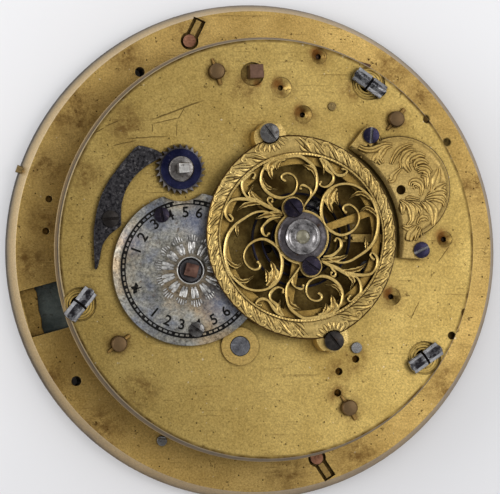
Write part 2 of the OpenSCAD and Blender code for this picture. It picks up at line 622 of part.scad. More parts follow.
module barrel_arbor() color("silver") {
    post(barrel_at, 1.8, barrel_low_r, 1.75);
    post(barrel_at, 3.5, 1, 1.05);
    post(barrel_at, 4.5, 1.5, 3.3);
    post(barrel_at, 7.7, 1, 1.2);
    post(barrel_at, 8.8, barrel_shaft_r, plate_z - 8.8 + 1.05);
    post(barrel_at, plate_z + 1, 1.12, 0.35);
    translate([barrel_at.x, barrel_at.y, plate_z + 1.3]) rotate([0, 0, 4])
        translate([-0.44, -0.44, 0]) cube([0.88, 0.88, 1.65]);
}

ratchet_teeth = 24;
module setup_ratchet() color("gray") translate([barrel_at.x, barrel_at.y, plate_z + 0.1])
    linear_extrude(0.6) difference() {
    polygon([for (i = [0 : ratchet_teeth - 1]) each [polar(2.27, 360 * (i + 0.1) / ratchet_teeth),
        polar(1.88, 360 * (i + 0.2) / ratchet_teeth), polar(1.95, 360 * (i + 0.6) / ratchet_teeth)]]);
    circle(r = barrel_shaft_r + 0.01);
}

module ratchet_cap() color("darkslateblue") tube(barrel_at, plate_z + 0.7, 1.8, barrel_shaft_r + 0.01, 0.3);

module click() color("dimgray") translate([0, 0, plate_z + 0.1]) linear_extrude(0.5) difference() {
    polygon([[-9.62, 8.16], [-10, 8.6], [-11.67, 9.02], [-12.5, 8.2], [-13.25, 7.32], [-14.29, 5.88],
        [-14.94, 4.58], [-15.33, 3.28], [-15.59, 1.59], [-15.58, 0.03], [-15.48, -1.91], [-15.26, -1.26],
        [-14.93, 0.3], [-14.29, 1.21], [-13.31, 2], [-13.31, 2.78], [-13.24, 3.94], [-12.85, 5.24],
        [-12.06, 6.41], [-11.02, 7.33], [-10.35, 7.85]]);
    translate(click_at) circle(r = screw_shank_r + run_fit);
}

module centre_wheel() color("gold") wheel(centre_at, pocket_z + 0.3, 0.4, centre_teeth, centre_r,
    dir(centre_at, third_at), centre_shaft_r + 0.01);

module centre_pinion() color("silver") {
    post(centre_at, 0.4, centre_shaft_r, top_z - 0.45);
    post(centre_at, top_z - 0.1, top_pivot_r, top_plate_h);
    leaves(centre_at, great_z - 0.15, 0.8, centre_leaves, centre_leaf_r,
        gap_turn(centre_leaves, dir(centre_at, fusee_at)));
}

module cannon_pinion() color("silver") {
    plain_wheel(centre_at, 0.92, 0.4, 10, motion_r / 4, gap_turn(10, 90), centre_shaft_r + 0.01);
    tube(centre_at, 0.15, 0.75, centre_shaft_r + 0.01, 0.8);
}

module minute_wheel() color("gold") {
    plain_wheel(minute_at, 0.95, 0.3, 30, motion_r * 0.75, -90, small_shaft_r + run_fit);
    plain_wheel(minute_at, 0.45, 0.5, 8, motion_r / 5, gap_turn(8, -90), small_shaft_r + run_fit);
}

module hour_wheel() color("gold") {
    plain_wheel(centre_at, 0.5, 0.3, 32, motion_r * 0.8, 90, 0.75 + run_fit);
    tube(centre_at, 0.15, 1.25, 0.75 + run_fit, 0.4);
}

module upright(p, z0, z1, pivot_h) {
    post(p, z0, small_shaft_r, z1 - z0);
    post(p, z0 - pivot_h, small_pivot_r, z1 - z0 + 2 * pivot_h);
}

module third_wheel() color("gold") wheel(third_at, pillar_plate_h + 0.05, 0.25, third_teeth, third_r,
    dir(third_at, contrate_at), small_shaft_r + 0.01);

module third_pinion() color("silver") {
    upright(third_at, pocket_z + 0.05, top_z - 0.05, 0.7);
    leaves(third_at, pocket_z + 0.2, 0.75, small_leaves, third_leaf_r,
        gap_turn(small_leaves, dir(third_at, centre_at)));
}

module contrate_wheel() color("gold") translate([contrate_at.x, contrate_at.y, 4.6]) difference() {
    rotate_extrude() polygon([[small_shaft_r + 0.01, 0], [4.7, 0], [4.7, crown_z - crown_leaf_r - 4.47],
        [4.3, crown_z - crown_leaf_r - 4.47], [4.3, 0.35], [small_shaft_r + 0.01, 0.35]]);
    for (a = [0 : 90 : 270]) translate(polar(2.5, a + 20)) translate([0, 0, -1]) cylinder(r = 1.25, h = 3);
    for (i = [0 : contrate_teeth - 1]) rotate([0, 0, train_turn + 180 + 360 * (i + 0.5) / contrate_teeth])
        translate([4, -0.17, crown_z - crown_leaf_r - 4.85]) cube([1, 0.34, 2]);
}

module contrate_pinion() color("silver") {
    upright(contrate_at, pillar_plate_h + 0.05, top_z - 0.05, 0.55);
    leaves(contrate_at, pillar_plate_h + 0.1, 0.6, small_leaves, contrate_leaf_r,
        gap_turn(small_leaves, dir(contrate_at, third_at)));
}

module crown_wheel() color("gold") crown_frame() difference() {
    translate([0, 0, crown_s]) cylinder(r = crown_r, h = 1.4);
    translate([0, 0, crown_s - 1]) cylinder(r = crown_r - 0.35, h = 2.05);
    translate([0, 0, crown_s]) cylinder(r = 0.21, h = 3);
    for (i = [0 : crown_teeth - 1]) rotate([0, 0, 360 * i / crown_teeth]) translate([1.5, 0, 0])
        rotate([90, 0, 90]) linear_extrude(2) polygon([[0, crown_s - 0.1], [0.85, crown_s - 0.1],
            [0.12, crown_s + 0.75], [0, crown_s + 0.75]]);
}

module crown_pinion() color("silver") crown_frame() {
    translate([0, 0, 0.85]) cylinder(r = 0.12, h = 5.95);
    translate([0, 0, 1.55]) cylinder(r = 0.2, h = 4.65);
    translate([0, 0, 5.2]) linear_extrude(0.75)
        teeth_2d(small_leaves, crown_leaf_r, gap_turn(small_leaves, 0), 0.21);
}

module balance_wheel() color("gold") translate([verge_at.x, verge_at.y, plate_z + 1.3])
    linear_extrude(0.5) difference() {
    circle(r = balance_r);
    spoked_2d(balance_r - balance_rim_w, 1.1, 3, 0.7, 20);
    circle(r = 0.51);
}

module verge_staff() color("silver") verge_frame() {
    translate([0, 0, 3.9]) cylinder(r = 0.13, h = 1);
    translate([0, 0, 4.38]) cylinder(r = 0.3, h = plate_z - 3.2);
    translate([0, 0, plate_z + 1.1]) cylinder(r = 0.5, h = 0.8);
    translate([0, 0, plate_z + 1.8]) cylinder(r = 0.14, h = bridge_h - 1.55);
    for (k = [-1, 1]) translate([0, 0, crown_z + 1.85 * k]) rotate([0, 0, 50 * k])
        translate([0, -0.1, -0.25]) cube([0.88, 0.2, 0.5]);
}

module spring_collet() color("gold") tube(verge_at, plate_z + 0.45, 1.05, 0.31, 0.55);

module regulator_rack() color("gold") translate([verge_at.x, verge_at.y, 0]) {
    translate([0, 0, groove_z + 0.05]) linear_extrude(0.7) intersection() {
        difference() {
            teeth_2d(rack_teeth, rack_r, dir(verge_at, dial_at));
            circle(r = rack_r - 0.65);
        }
        polygon(concat([[0, 0]], [for (a = [165 : 10 : 395]) polar(12, a)]));
    }
    translate([4, -0.35, plate_z + 0.05]) cube([rack_r - 4.4, 0.7, 0.3]);
    for (r = [4.25, 4.95]) translate([r, 0, plate_z + 0.1]) cylinder(r = 0.13, h = 0.9);
}

module regulator_arbor() color("silver") {
    post(dial_at, plate_z - 0.8, 0.5, 1);
    leaves(dial_at, plate_z + 0.05, 0.45, regulator_teeth, regulator_r,
        gap_turn(regulator_teeth, dir(dial_at, verge_at)));
    post(dial_at, plate_z + 0.4, 1, dial_h - 0.2);
    translate([dial_at.x, dial_at.y, dial_z + 0.2]) rotate([0, 0, 38])
        translate([-regulator_square / 2, -regulator_square / 2, 0])
            cube([regulator_square, regulator_square, 0.6]);
}

// A bar with a slot across it, on a stem held below the plate by a collar
module key_screw(i) color("silver") translate([key_places[i].x, key_places[i].y, 0])
    rotate([0, 0, key_turns[i]]) {
    translate([0, 0, top_z - 0.6]) cylinder(r = 1.1, h = 0.5);
    translate([0, 0, top_z - 0.2]) cylinder(r = key_stem_r, h = top_plate_h + 0.4);
    difference() {
        intersection() {
            translate([-2, 0, plate_z + 0.1]) rotate([90, 0, 90]) linear_extrude(4)
                polygon([[-0.65, 0], [0.65, 0], [0.65, 0.4], [0.35, 0.8], [-0.35, 0.8], [-0.65, 0.4]]);
            translate([0, 0, plate_z]) cylinder(r = 1.68, h = 2);
        }
        translate([-0.1, -2, plate_z + 0.55]) cube([0.2, 4, 1]);
    }
}

module key_screw_1() key_screw(0);
module key_screw_2() key_screw(1);
module key_screw_3() key_screw(2);

module repeat_great_wheel() color("gold") {
    post(repeat_a, 2.5, small_shaft_r, 1);
    post(repeat_a, pillar_plate_h + 0.05, small_shaft_r, plate_gap - 0.1);
    post(repeat_a, top_z - 0.2, top_pivot_r, top_plate_h + 0.1);
    plain_wheel(repeat_a, 5, 0.5, repeat_a_teeth, repeat_a_r, dir(repeat_a, repeat_b), 0.1);
    translate([repeat_a.x, repeat_a.y, plate_z - 0.15]) rotate([0, 0, 3])
        translate([-0.6, -0.6, 0]) cube([1.2, 1.2, 1.6]);
}

module repeat_second_wheel() color("gold") {
    post(repeat_b, 2.5, small_shaft_r, top_z - 2.55);
    post(repeat_b, 2.5, small_pivot_r, plate_z - 3.4);
    leaves(repeat_b, 4.9, 0.7, small_leaves, repeat_b_leaf_r,
        gap_turn(small_leaves, dir(repeat_b, repeat_a)));
    plain_wheel(repeat_b, 6.2, 0.4, repeat_b_teeth, repeat_b_r, dir(repeat_b, repeat_c), 0.1);
}

module repeat_fly() color("silver") {
    post(repeat_c, 2.5, small_shaft_r, top_z - 2.55);
    post(repeat_c, 2.5, small_pivot_r, plate_z - 3.4);
    leaves(repeat_c, 6.1, 0.6, repeat_c_leaves, repeat_c_leaf_r,
        gap_turn(repeat_c_leaves, dir(repeat_c, repeat_b)));
    post(repeat_c, 7.3, 1.5, 0.5);
}

module hammer() color("slategray") translate([hammer_at.x, hammer_at.y, 0]) rotate([0, 0, -15]) {
    translate([0, 0, 2.5]) cylinder(r = small_shaft_r, h = 6);
    translate([0, 0, 2.5]) cylinder(r = small_pivot_r, h = plate_z - 3.4);
    translate([0, 0, pillar_plate_h + 0.05]) cylinder(r = 0.6, h = plate_gap - 0.1);
    translate([0, -0.4, 5.6]) cube([3.2, 0.8, 1.6]);
    translate([2.9, -0.6, 5.2]) cube([2.3, 1.5, 2.4]);
}

module strike_lever() color("slategray") translate([lever_at.x, lever_at.y, 0]) rotate([0, 0, 100]) {
    translate([0, 0, 2.5]) cylinder(r = small_shaft_r, h = top_z - 2.55);
    translate([0, 0, 2.5]) cylinder(r = small_pivot_r, h = plate_z - 3.4);
    translate([0, -0.35, 6.8]) cube([4, 0.7, 0.5]);
    translate([0, 0, 6.7]) cylinder(r = 0.7, h = 0.7);
}

pillar_plate();
pillars();
pillar_pins();
top_plate();
balance_bridge();
bridge_screws();
end_plate();
end_stone();
end_plate_screws();
regulator_dial();
regulator_dial_screws();
slide_cover();
slide_cover_screws();
potence();
potence_screw();
counter_potence();
counter_potence_screw();
fusee_bush();
click_screw();
spring_stud();
plate_pins();
recess_leaf();
dial_foot_ends();
dial_foot_pins();
fusee_chain();
balance_spring();
great_wheel();
fusee_cone();
fusee_arbor();
barrel_drum();
barrel_cap();
mainspring();
barrel_arbor();
setup_ratchet();
ratchet_cap();
click();
centre_wheel();
centre_pinion();
cannon_pinion();
third_wheel();
third_pinion();
contrate_wheel();
contrate_pinion();
crown_wheel();
crown_pinion();
minute_wheel();
hour_wheel();
balance_wheel();
verge_staff();
spring_collet();
regulator_arbor();
regulator_rack();
key_screw_1();
key_screw_2();
key_screw_3();
repeat_great_wheel();
repeat_second_wheel();
repeat_fly();
hammer();
strike_lever();
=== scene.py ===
"""A verge pocket watch movement seen from its back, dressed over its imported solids. Metres."""

import math

import bmesh
import bpy
from mathutils import Matrix, Vector


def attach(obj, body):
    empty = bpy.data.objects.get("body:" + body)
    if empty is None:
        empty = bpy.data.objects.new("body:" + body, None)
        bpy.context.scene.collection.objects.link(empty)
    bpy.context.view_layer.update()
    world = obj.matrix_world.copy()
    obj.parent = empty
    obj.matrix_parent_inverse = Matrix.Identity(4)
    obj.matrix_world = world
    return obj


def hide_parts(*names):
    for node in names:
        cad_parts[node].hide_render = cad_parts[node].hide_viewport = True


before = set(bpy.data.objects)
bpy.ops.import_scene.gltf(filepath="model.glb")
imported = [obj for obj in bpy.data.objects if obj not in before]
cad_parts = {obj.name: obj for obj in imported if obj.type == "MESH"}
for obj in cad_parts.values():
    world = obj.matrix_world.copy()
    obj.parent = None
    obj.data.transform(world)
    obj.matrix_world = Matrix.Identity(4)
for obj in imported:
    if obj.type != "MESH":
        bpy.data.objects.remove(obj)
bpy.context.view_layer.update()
scene = bpy.context.scene
scene.view_settings.view_transform = "Standard"


# Pillar plate
# The thick brass plate that carries the train, turned with a sloping rim and fire-gilt.
# Two and a half centuries of handling have left it pitted and stained; its low places are painted brown as
# painted shade with grime, and its rim and sides carry painted light and shade.
def photo_colour(red, green, blue):
    """A colour given as in the photograph, 0 to 255, turned into linear light."""
    light = []
    for value in (red, green, blue):
        part = value / 255
        light.append(part / 12.92 if part < 0.04 else ((part + 0.055) / 1.055) ** 2.4)
    return (*light, 1.0)


def feed(tree, socket, value):
    """Links a socket to another one or sets it to a plain value."""
    if isinstance(value, bpy.types.NodeSocket):
        tree.links.new(value, socket)
    else:
        socket.default_value = value


def node(tree, kind, inputs=None, **settings):
    made = tree.nodes.new(kind)
    for key, value in settings.items():
        setattr(made, key, value)
    for key, value in (inputs or {}).items():
        feed(tree, made.inputs[key], value)
    return made


def grain(tree, where, scale, detail=4.0, roughness=0.6):
    """Cloudy noise with the given number of clouds to the metre."""
    values = {"Vector": where, "Scale": scale, "Detail": detail, "Roughness": roughness}
    return node(tree, "ShaderNodeTexNoise", values).outputs["Fac"]


def ramp(tree, value, *stops):
    made = node(tree, "ShaderNodeValToRGB", {"Fac": value})
    elements = made.color_ramp.elements
    while len(elements) < len(stops):
        elements.new(0.5)
    for element, (position, colour) in zip(elements, stops):
        element.position = position
        element.color = colour if isinstance(colour, tuple) else (colour, colour, colour, 1.0)
    return made.outputs["Color"]


def mixed(tree, blend, share, first, second):
    values = {"Fac": share, "Color1": first, "Color2": second}
    return node(tree, "ShaderNodeMixRGB", values, blend_type=blend).outputs["Color"]


def tinted(tree, colour, mask, tone):
    """The colour with another tone laid over it where the mask is 1."""
    return mixed(tree, "MIX", mask, colour, photo_colour(*tone))


def maths(tree, operation, first, second=0.0):
    made = node(tree, "ShaderNodeMath", operation=operation)
    for socket, value in zip(made.inputs, (first, second)):
        feed(tree, socket, value)
    return made.outputs["Value"]


def times(tree, first, second):
    return maths(tree, "MULTIPLY", first, second)


def streaks(tree, where, turn, along, across):
    """Hair scratches that run at the given turn, with their number to the metre along and across."""
    values = {"Vector": where, "Rotation": (0.0, 0.0, math.radians(turn)), "Scale": (along, across, along)}
    laid = node(tree, "ShaderNodeMapping", values).outputs["Vector"]
    return ramp(tree, grain(tree, laid, 1.0, 2.0), (0.62, 0.0), (0.68, 1.0))


def between(tree, value, low, high, first=0.0, last=1.0):
    """Runs from first to last as the value runs from low to high."""
    limits = {"Value": value, "From Min": low, "From Max": high, "To Min": first, "To Max": last}
    return node(tree, "ShaderNodeMapRange", limits).outputs["Result"]


def part_of(tree, vector, axis):
    return node(tree, "ShaderNodeSeparateXYZ", {"Vector": vector}).outputs[axis]


def from_place(tree, where, x, y):
    """Distance in the plane from a place given in millimetres."""
    level = {0: where, 1: (1.0, 1.0, 0.0)}
    flat = node(tree, "ShaderNodeVectorMath", level, operation="MULTIPLY").outputs["Vector"]
    ends = {0: flat, 1: (x / 1000, y / 1000, 0.0)}
    return node(tree, "ShaderNodeVectorMath", ends, operation="DISTANCE").outputs["Value"]


def patches(tree, where, places, core=0.33):
    """One mask for soft round patches, each given as x, y and radius in millimetres."""
    mask = 0.0
    for x, y, radius in places:
        spot = between(tree, from_place(tree, where, x, y), radius / 1000, core * radius / 1000)
        mask = maths(tree, "MAXIMUM", spot, mask)
    return mask


def scored(tree, where, lines):
    """One mask for long scratches, each given by its two ends and its width in millimetres."""
    wander = times(tree, maths(tree, "SUBTRACT", grain(tree, where, 700.0), 0.5), 0.0002)
    mask = 0.0
    for (start_x, start_y), (end_x, end_y), width in lines:
        run = Vector((end_x - start_x, end_y - start_y))
        middle = ((start_x + end_x) / 2000, (start_y + end_y) / 2000, 0.0)
        values = {"Vector": where, "Location": middle, "Rotation": (0.0, 0.0, math.atan2(run.y, run.x))}
        laid = node(tree, "ShaderNodeMapping", values, vector_type="TEXTURE").outputs["Vector"]
        along = maths(tree, "ABSOLUTE", part_of(tree, laid, "X"))
        across = maths(tree, "ABSOLUTE", maths(tree, "ADD", part_of(tree, laid, "Y"), wander))
        ends = between(tree, along, run.length / 2000, run.length / 3000)
        line = times(tree, ends, between(tree, across, width / 1000, width / 3000))
        mask = maths(tree, "MAXIMUM", line, mask)
    return mask


def new_finish(name):
    material = bpy.data.materials.new(name)
    material.use_nodes = True
    tree = material.node_tree
    where = node(tree, "ShaderNodeTexCoord").outputs["Object"]
    return material, tree, tree.nodes["Principled BSDF"], where


def rounded_edges(tree, radius, height, depth):
    """Edges that catch the light, with the height laid over them as relief."""
    soft = node(tree, "ShaderNodeBevel", {"Radius": radius}, samples=4).outputs["Normal"]
    values = {"Strength": 1.0, "Distance": depth, "Height": height, "Normal": soft}
    return node(tree, "ShaderNodeBump", values).outputs["Normal"]


def connect(tree, surface, **sockets):
    for name, value in sockets.items():
        feed(tree, surface.inputs[name.replace("_", " ")], value)


def polish(tree, surface, colour, cloud, rough, edge, relief, depth):
    """Gives a metal's surface its colour, a gloss that follows the clouds, and its relief."""
    gloss = ramp(tree, cloud, (0.3, rough + 0.12), (0.7, rough))
    connect(tree, surface, Base_Color=colour, Metallic=1.0, Roughness=gloss,
            Normal=rounded_edges(tree, edge, relief, depth))


def corner_shade_and_grime(tree, colour, reach, deep):
    """Darkens corners and recesses as painted shade, with the grime that gathers there: deep is the tone,
    reach how far it spreads.
    """
    corner = node(tree, "ShaderNodeAmbientOcclusion", {"Distance": reach}, samples=6).outputs["AO"]
    return mixed(tree, "MIX", ramp(tree, corner, (0.25, 0.0), (0.85, 1.0)), photo_colour(*deep), colour)


def painted_side_light(tree, where, colour, shade):
    """Painted light and shade: makes a plate darker at its left and lighter at its right, more so towards its
    lower edge.
    """
    side = between(tree, part_of(tree, where, "X"), -0.022, 0.022, -shade, shade)
    low_down = between(tree, part_of(tree, where, "Y"), 0.0, -0.022, 1.0, 2.6)
    return mixed(tree, "MULTIPLY", 1.0, colour, maths(tree, "ADD", times(tree, side, low_down), 1.0))


def painted_rim_light(tree, where, colour, rim, cloud, speckle):
    """Painted light and shade on a plate's steep rim: bands each given by its height in millimetres and its
    tone, with the steep faces painted darker, shown most at the left and the top.
    """
    low, high = rim[0][0], rim[-1][0]
    slope = part_of(tree, node(tree, "ShaderNodeNewGeometry").outputs["Normal"], "Z")
    steep = ramp(tree, slope, (0.4, 1.0), (0.7, 0.0))
    broken = times(tree, maths(tree, "SUBTRACT", cloud, 0.5), 0.0006)
    height = maths(tree, "ADD", part_of(tree, where, "Z"), broken)
    stops = [((at - low) / (high - low), photo_colour(*tone)) for at, tone in rim]
    bands = ramp(tree, between(tree, height, low / 1000, high / 1000), *stops)
    bands = mixed(tree, "MULTIPLY", 0.7, bands, ramp(tree, speckle, (0.32, 0.6), (0.66, 1.15)))
    colour = mixed(tree, "MULTIPLY", steep, colour, (0.5, 0.46, 0.42, 1.0))
    clear_side = between(tree, part_of(tree, where, "X"), -0.02, 0.022, 0.95, 0.25)
    upper_side = between(tree, part_of(tree, where, "Y"), -0.02, 0.004, 0.5, 1.0)
    shown = times(tree, steep, times(tree, clear_side, upper_side))
    return mixed(tree, "MIX", shown, colour, bands)


def gilt(name, dark, light, rough=0.34, pits=0.6, scratches=0.5, dust=0.0, shade=0.0, stains=(), rust=(),
         shade_and_oil_grime=(), scores=(), dull=(), grime=(), turned=(), carved=False, rim=(), edge=0.00006):
    """Worn gilt brass: faint clouds, fine speckle, pits, hair scratches, brown stains and corners darkened as
    painted shade with grime, with optional painted light and shade across it, on its rim, in patches and on
    carved relief.
    """
    material, tree, surface, where = new_finish(name)
    cloud = grain(tree, where, 160.0, 10.0, 0.72)
    speckle = grain(tree, where, 5600.0, 5.0, 0.8)
    colour = ramp(tree, cloud, (0.3, photo_colour(*dark)), (0.68, photo_colour(*light)))
    colour = mixed(tree, "MULTIPLY", 1.0, colour, ramp(tree, speckle, (0.32, 0.52), (0.66, 1.2)))
    pit = ramp(tree, grain(tree, where, 1300.0, 4.0, 0.75), (0.63, 0.0), (0.7, pits))
    colour = tinted(tree, colour, pit, (70, 50, 26))
    cells = node(tree, "ShaderNodeTexVoronoi", {"Vector": where, "Scale": 1500.0})
    middles = ramp(tree, cells.outputs["Distance"], (0.09, pits), (0.13, 0.0))
    dot = times(tree, middles, ramp(tree, cells.outputs["Color"], (0.5, 0.0), (0.55, 1.0)))
    colour = tinted(tree, colour, dot, (46, 33, 18))
    one_way = streaks(tree, where, 22.0, 90.0, 5200.0)
    hair = mixed(tree, "ADD", 1.0, one_way, streaks(tree, where, -64.0, 120.0, 6100.0))
    hair = mixed(tree, "MULTIPLY", 1.0, hair, ramp(tree, grain(tree, where, 300.0), (0.5, 0.0), (0.64, 1.0)))
    colour = tinted(tree, colour, times(tree, hair, 0.3 * scratches), (92, 70, 38))
    if dust:
        fleck = ramp(tree, grain(tree, where, 3000.0, 1.0, 0.4), (0.77, 0.0), (0.8, dust))
        colour = tinted(tree, colour, fleck, (228, 222, 204))
    if stains:
        blotch = ramp(tree, grain(tree, where, 900.0, 8.0, 0.8), (0.42, 0.1), (0.6, 0.85))
        colour = tinted(tree, colour, times(tree, patches(tree, where, stains), blotch), (104, 74, 38))
    if rust:
        broken = ramp(tree, speckle, (0.3, 0.4), (0.6, 0.9))
        colour = tinted(tree, colour, times(tree, patches(tree, where, rust), broken), (116, 66, 26))
    # Dark patches, each given by tone, core and places: painted shade in holes and notches and under the
    # bridge, with oil grime under the balance.
    for tone, core, places in shade_and_oil_grime:
        uneven = ramp(tree, grain(tree, where, 420.0, 6.0, 0.7), (0.4, 1.0), (0.62, 0.72))
        colour = tinted(tree, colour, times(tree, patches(tree, where, places, core), uneven), tone)
    if scores:
        colour = tinted(tree, colour, times(tree, scored(tree, where, scores), 0.8), (78, 58, 30))
    # Broad patches of painted shade, each darkening the colour by its own depth.
    for x, y, radius, depth in dull:
        patch_shade = times(tree, patches(tree, where, [(x, y, radius)], 0.0), depth)
        colour = mixed(tree, "MULTIPLY", patch_shade, colour, (0.0, 0.0, 0.0, 1.0))
    if grime:
        clean_r, edge_r = grime
        near_edge = between(tree, from_place(tree, where, 0.0, 0.0), clean_r / 1000, edge_r / 1000)
        uneven = ramp(tree, grain(tree, where, 700.0, 8.0, 0.8), (0.4, 0.4), (0.58, 0.95))
        colour = tinted(tree, colour, times(tree, near_edge, uneven), (74, 54, 26))
    if shade:
        colour = painted_side_light(tree, where, colour, shade)
    if rim:
        colour = painted_rim_light(tree, where, colour, rim, cloud, speckle)
    # Painted light on carved relief: each point's value runs from dark brown, painted shade with some grime
    # in grooves and along edges, to the full colour, a painted highlight on the crests.
    if carved:
        lift = node(tree, "ShaderNodeAttribute", attribute_name="lift").outputs["Fac"]
        crests = ramp(tree, lift, (0.1, 0.0), (0.75, 1.0))
        colour = mixed(tree, "MIX", crests, photo_colour(62, 42, 18), colour)
    # Corners and recesses darkened: painted shade with grime.
    colour = corner_shade_and_grime(tree, colour, 0.0005, (58, 42, 22))
    relief = maths(tree, "SUBTRACT", times(tree, speckle, 0.35), maths(tree, "ADD", pit, hair))
    relief = maths(tree, "SUBTRACT", relief, dot)
    for x, y, radius in turned:
        out = from_place(tree, where, x, y)
        inside = between(tree, out, radius / 1000, 0.95 * radius / 1000)
        wave = times(tree, maths(tree, "SINE", times(tree, out, 26000.0)), inside)
        bright = maths(tree, "ADD", times(tree, inside, 0.24), times(tree, wave, 0.22))
        colour = tinted(tree, colour, bright, (216, 180, 98))
        relief = maths(tree, "ADD", relief, wave)
    polish(tree, surface, colour, cloud, rough, edge, relief, 0.000012)
    return material


def dress(finish, *names):
    """Gives CAD nodes their finish."""
    for name in names:
        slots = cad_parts[name].data.materials
        slots.clear()
        slots.append(finish)


plate_stains = [(-16.5, 12.5, 3.4), (-20.6, -1.0, 2.4), (-14.0, -16.0, 3.0), (3.0, -20.0, 2.4),
                (9.5, -18.6, 2.8), (-6.0, 20.4, 2.2), (12.5, 16.6, 2.4), (20.2, 6.0, 2.0),
                (17.6, -12.0, 2.6), (-19.0, 7.5, 2.2), (-19.4, 2.6, 1.8), (-12.0, 17.6, 2.2),
                (-18.2, -11.5, 2.0), (15.5, 14.6, 1.8)]
# Painted shadow on the pillar plate beneath two notches in the top plate's edge.
notch_shadows = [((8, 6, 3), 0.7, [(15.72, 12.11, 0.52), (17.74, 10.05, 0.46)])]
# Painted light on the rim: painted shade on its low upright wall, and a pale bevel above, rubbed bright by
# the case and painted as a highlight.
plate_rim_light = [(1.0, (60, 58, 56)), (1.6, (76, 72, 66)), (1.85, (152, 136, 108)), (2.5, (206, 180, 134)),
             (3.2, (226, 200, 152)), (3.4, (234, 210, 166))]
# Painted shade: the plate darker at its bottom and at its right.
plate_shade_patches = [(1.0, -21.5, 11.0, 0.36), (22.0, 1.0, 7.0, 0.2)]
plate_gilt = gilt("pillar_plate_gilt", (172, 140, 77), (213, 179, 108), pits=0.95, dust=0.4, shade=0.06,
                  stains=plate_stains, shade_and_oil_grime=notch_shadows, dull=plate_shade_patches, rim=plate_rim_light)
dress(plate_gilt, "pillar_plate")


# Small fittings of the pillar plate
# Copper dial feet come up through two slots and are held by brass pins lying in them.
# A spring leaf shows at the bottom of the joint's recess, and steel pins stand near the rim.
def metal(name, dark, light, rough=0.3, cloud_scale=420.0, spots=0.5, spot_colour=(58, 44, 34), edge=0.00006):
    """Bare or coloured metal with clouded tone, fine scratches, specks of rust or grime, and corners darkened
    as painted shade with grime.
    """
    material, tree, surface, where = new_finish(name)
    cloud = grain(tree, where, cloud_scale, 7.0, 0.6)
    speckle = grain(tree, where, 5200.0, 3.0, 0.65)
    colour = ramp(tree, cloud, (0.36, photo_colour(*dark)), (0.64, photo_colour(*light)))
    colour = mixed(tree, "MULTIPLY", 1.0, colour, ramp(tree, speckle, (0.3, 0.78), (0.68, 1.06)))
    speck = ramp(tree, grain(tree, where, 2300.0, 3.0), (0.6, 0.0), (0.7, spots))
    # Corners and recesses darkened: painted shade with grime.
    colour = corner_shade_and_grime(tree, tinted(tree, colour, speck, spot_colour), 0.0003, (26, 22, 20))
    hair = streaks(tree, where, 35.0, 260.0, 9000.0)
    relief = maths(tree, "SUBTRACT", times(tree, speckle, 0.4), maths(tree, "ADD", speck, hair))
    polish(tree, surface, colour, cloud, rough, edge, relief, 0.00001)
    return material


dress(metal("dial_foot_copper", (122, 82, 62), (172, 124, 98), spots=0.6), "dial_foot_ends")
dress(gilt("foot_pin_brass", (124, 98, 54), (176, 146, 88)), "dial_foot_pins")


def tint_where(material, place, tone):
    """Changes a finish to another tone where place, which is given the tree and the point, is 1."""
    tree = material.node_tree
    surface = tree.nodes["Principled BSDF"]
    plain = surface.inputs["Base Color"].links[0].from_socket
    mask = place(tree, tree.nodes["Texture Coordinate"].outputs["Object"])
    connect(tree, surface, Base_Color=tinted(tree, plain, mask, tone))


pin_steel = metal("pin_steel", (84, 82, 80), (146, 145, 144), rough=0.2, spots=0.7)
brass_pins = [(-21.5, 7.6, 3.0), (5.81, 12.75, 1.0)]
tint_where(pin_steel, lambda tree, where: patches(tree, where, brass_pins, 0.8), (130, 110, 72))
dress(pin_steel, "plate_pins")
dress(metal("leaf_steel", (82, 92, 92), (122, 132, 130), rough=0.5), "recess_leaf")


def finished(name, shape, finish, body, slot, *nodes, sharp=35.0):
    """Turns a shape in millimetres into a piece that rides on a body and stands for the nodes named."""
    bmesh.ops.recalc_face_normals(shape, faces=shape.faces)
    mesh = bpy.data.meshes.new(name)
    shape.to_mesh(mesh)
    shape.free()
    mesh.transform(Matrix.Scale(0.001, 4))
    mesh.shade_smooth()
    mesh.set_sharp_from_angle(angle=math.radians(sharp))
    mesh.materials.append(finish)
    piece = bpy.data.objects.new(name, mesh)
    scene.collection.objects.link(piece)
    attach(piece, body)
    if nodes:
        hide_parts(*nodes)
    return piece


def skin(shape, rows):
    """Faces from each closed row of points to the next."""
    for near, far in zip(rows, rows[1:]):
        for k in range(len(near)):
            beside = (k + 1) % len(near)
            shape.faces.new((near[k], near[beside], far[beside], far[k]))


def closed(shape, rows):
    """A closed solid through closed rows of points."""
    skin(shape, rows)
    shape.faces.new(rows[0][::-1])
    shape.faces.new(rows[-1])


def outlined(shape, line, low, high, chamfer):
    """A closed plate with the given outline in the plane and a chamfer round its upper edge."""
    inner = []
    for i in range(len(line)):
        ahead = line[(i + 1) % len(line)] - line[i - 1]
        inner.append(line[i] + Vector((-ahead.y, ahead.x)).normalized() * chamfer)
    levels = ((line, low), (line, high - chamfer), (inner, high))
    closed(shape, [[shape.verts.new((p.x, p.y, height)) for p in points] for points, height in levels])


# The step left in the recess at the rim, along which the leaf disappears
recess_turn = Matrix.Rotation(math.radians(195.5), 2)
step_points = [(21.64, -2.14), (21.64, 2.14), (20.3, 2.14), (20.36, 1.5), (20.2, 0.8), (20.24, 0.0),
               (20.08, -0.9), (19.98, -1.6), (20.12, -2.14)]
recess_step = bmesh.new()
step_line = [recess_turn @ Vector(point) for point in step_points]
outlined(recess_step, step_line, low=1.2, high=1.74, chamfer=0.04)
step_brass = gilt("step_brass", (132, 104, 54), (206, 170, 98), pits=1.2)
finished("recess_step", recess_step, step_brass, "frame", "gilt_brass")


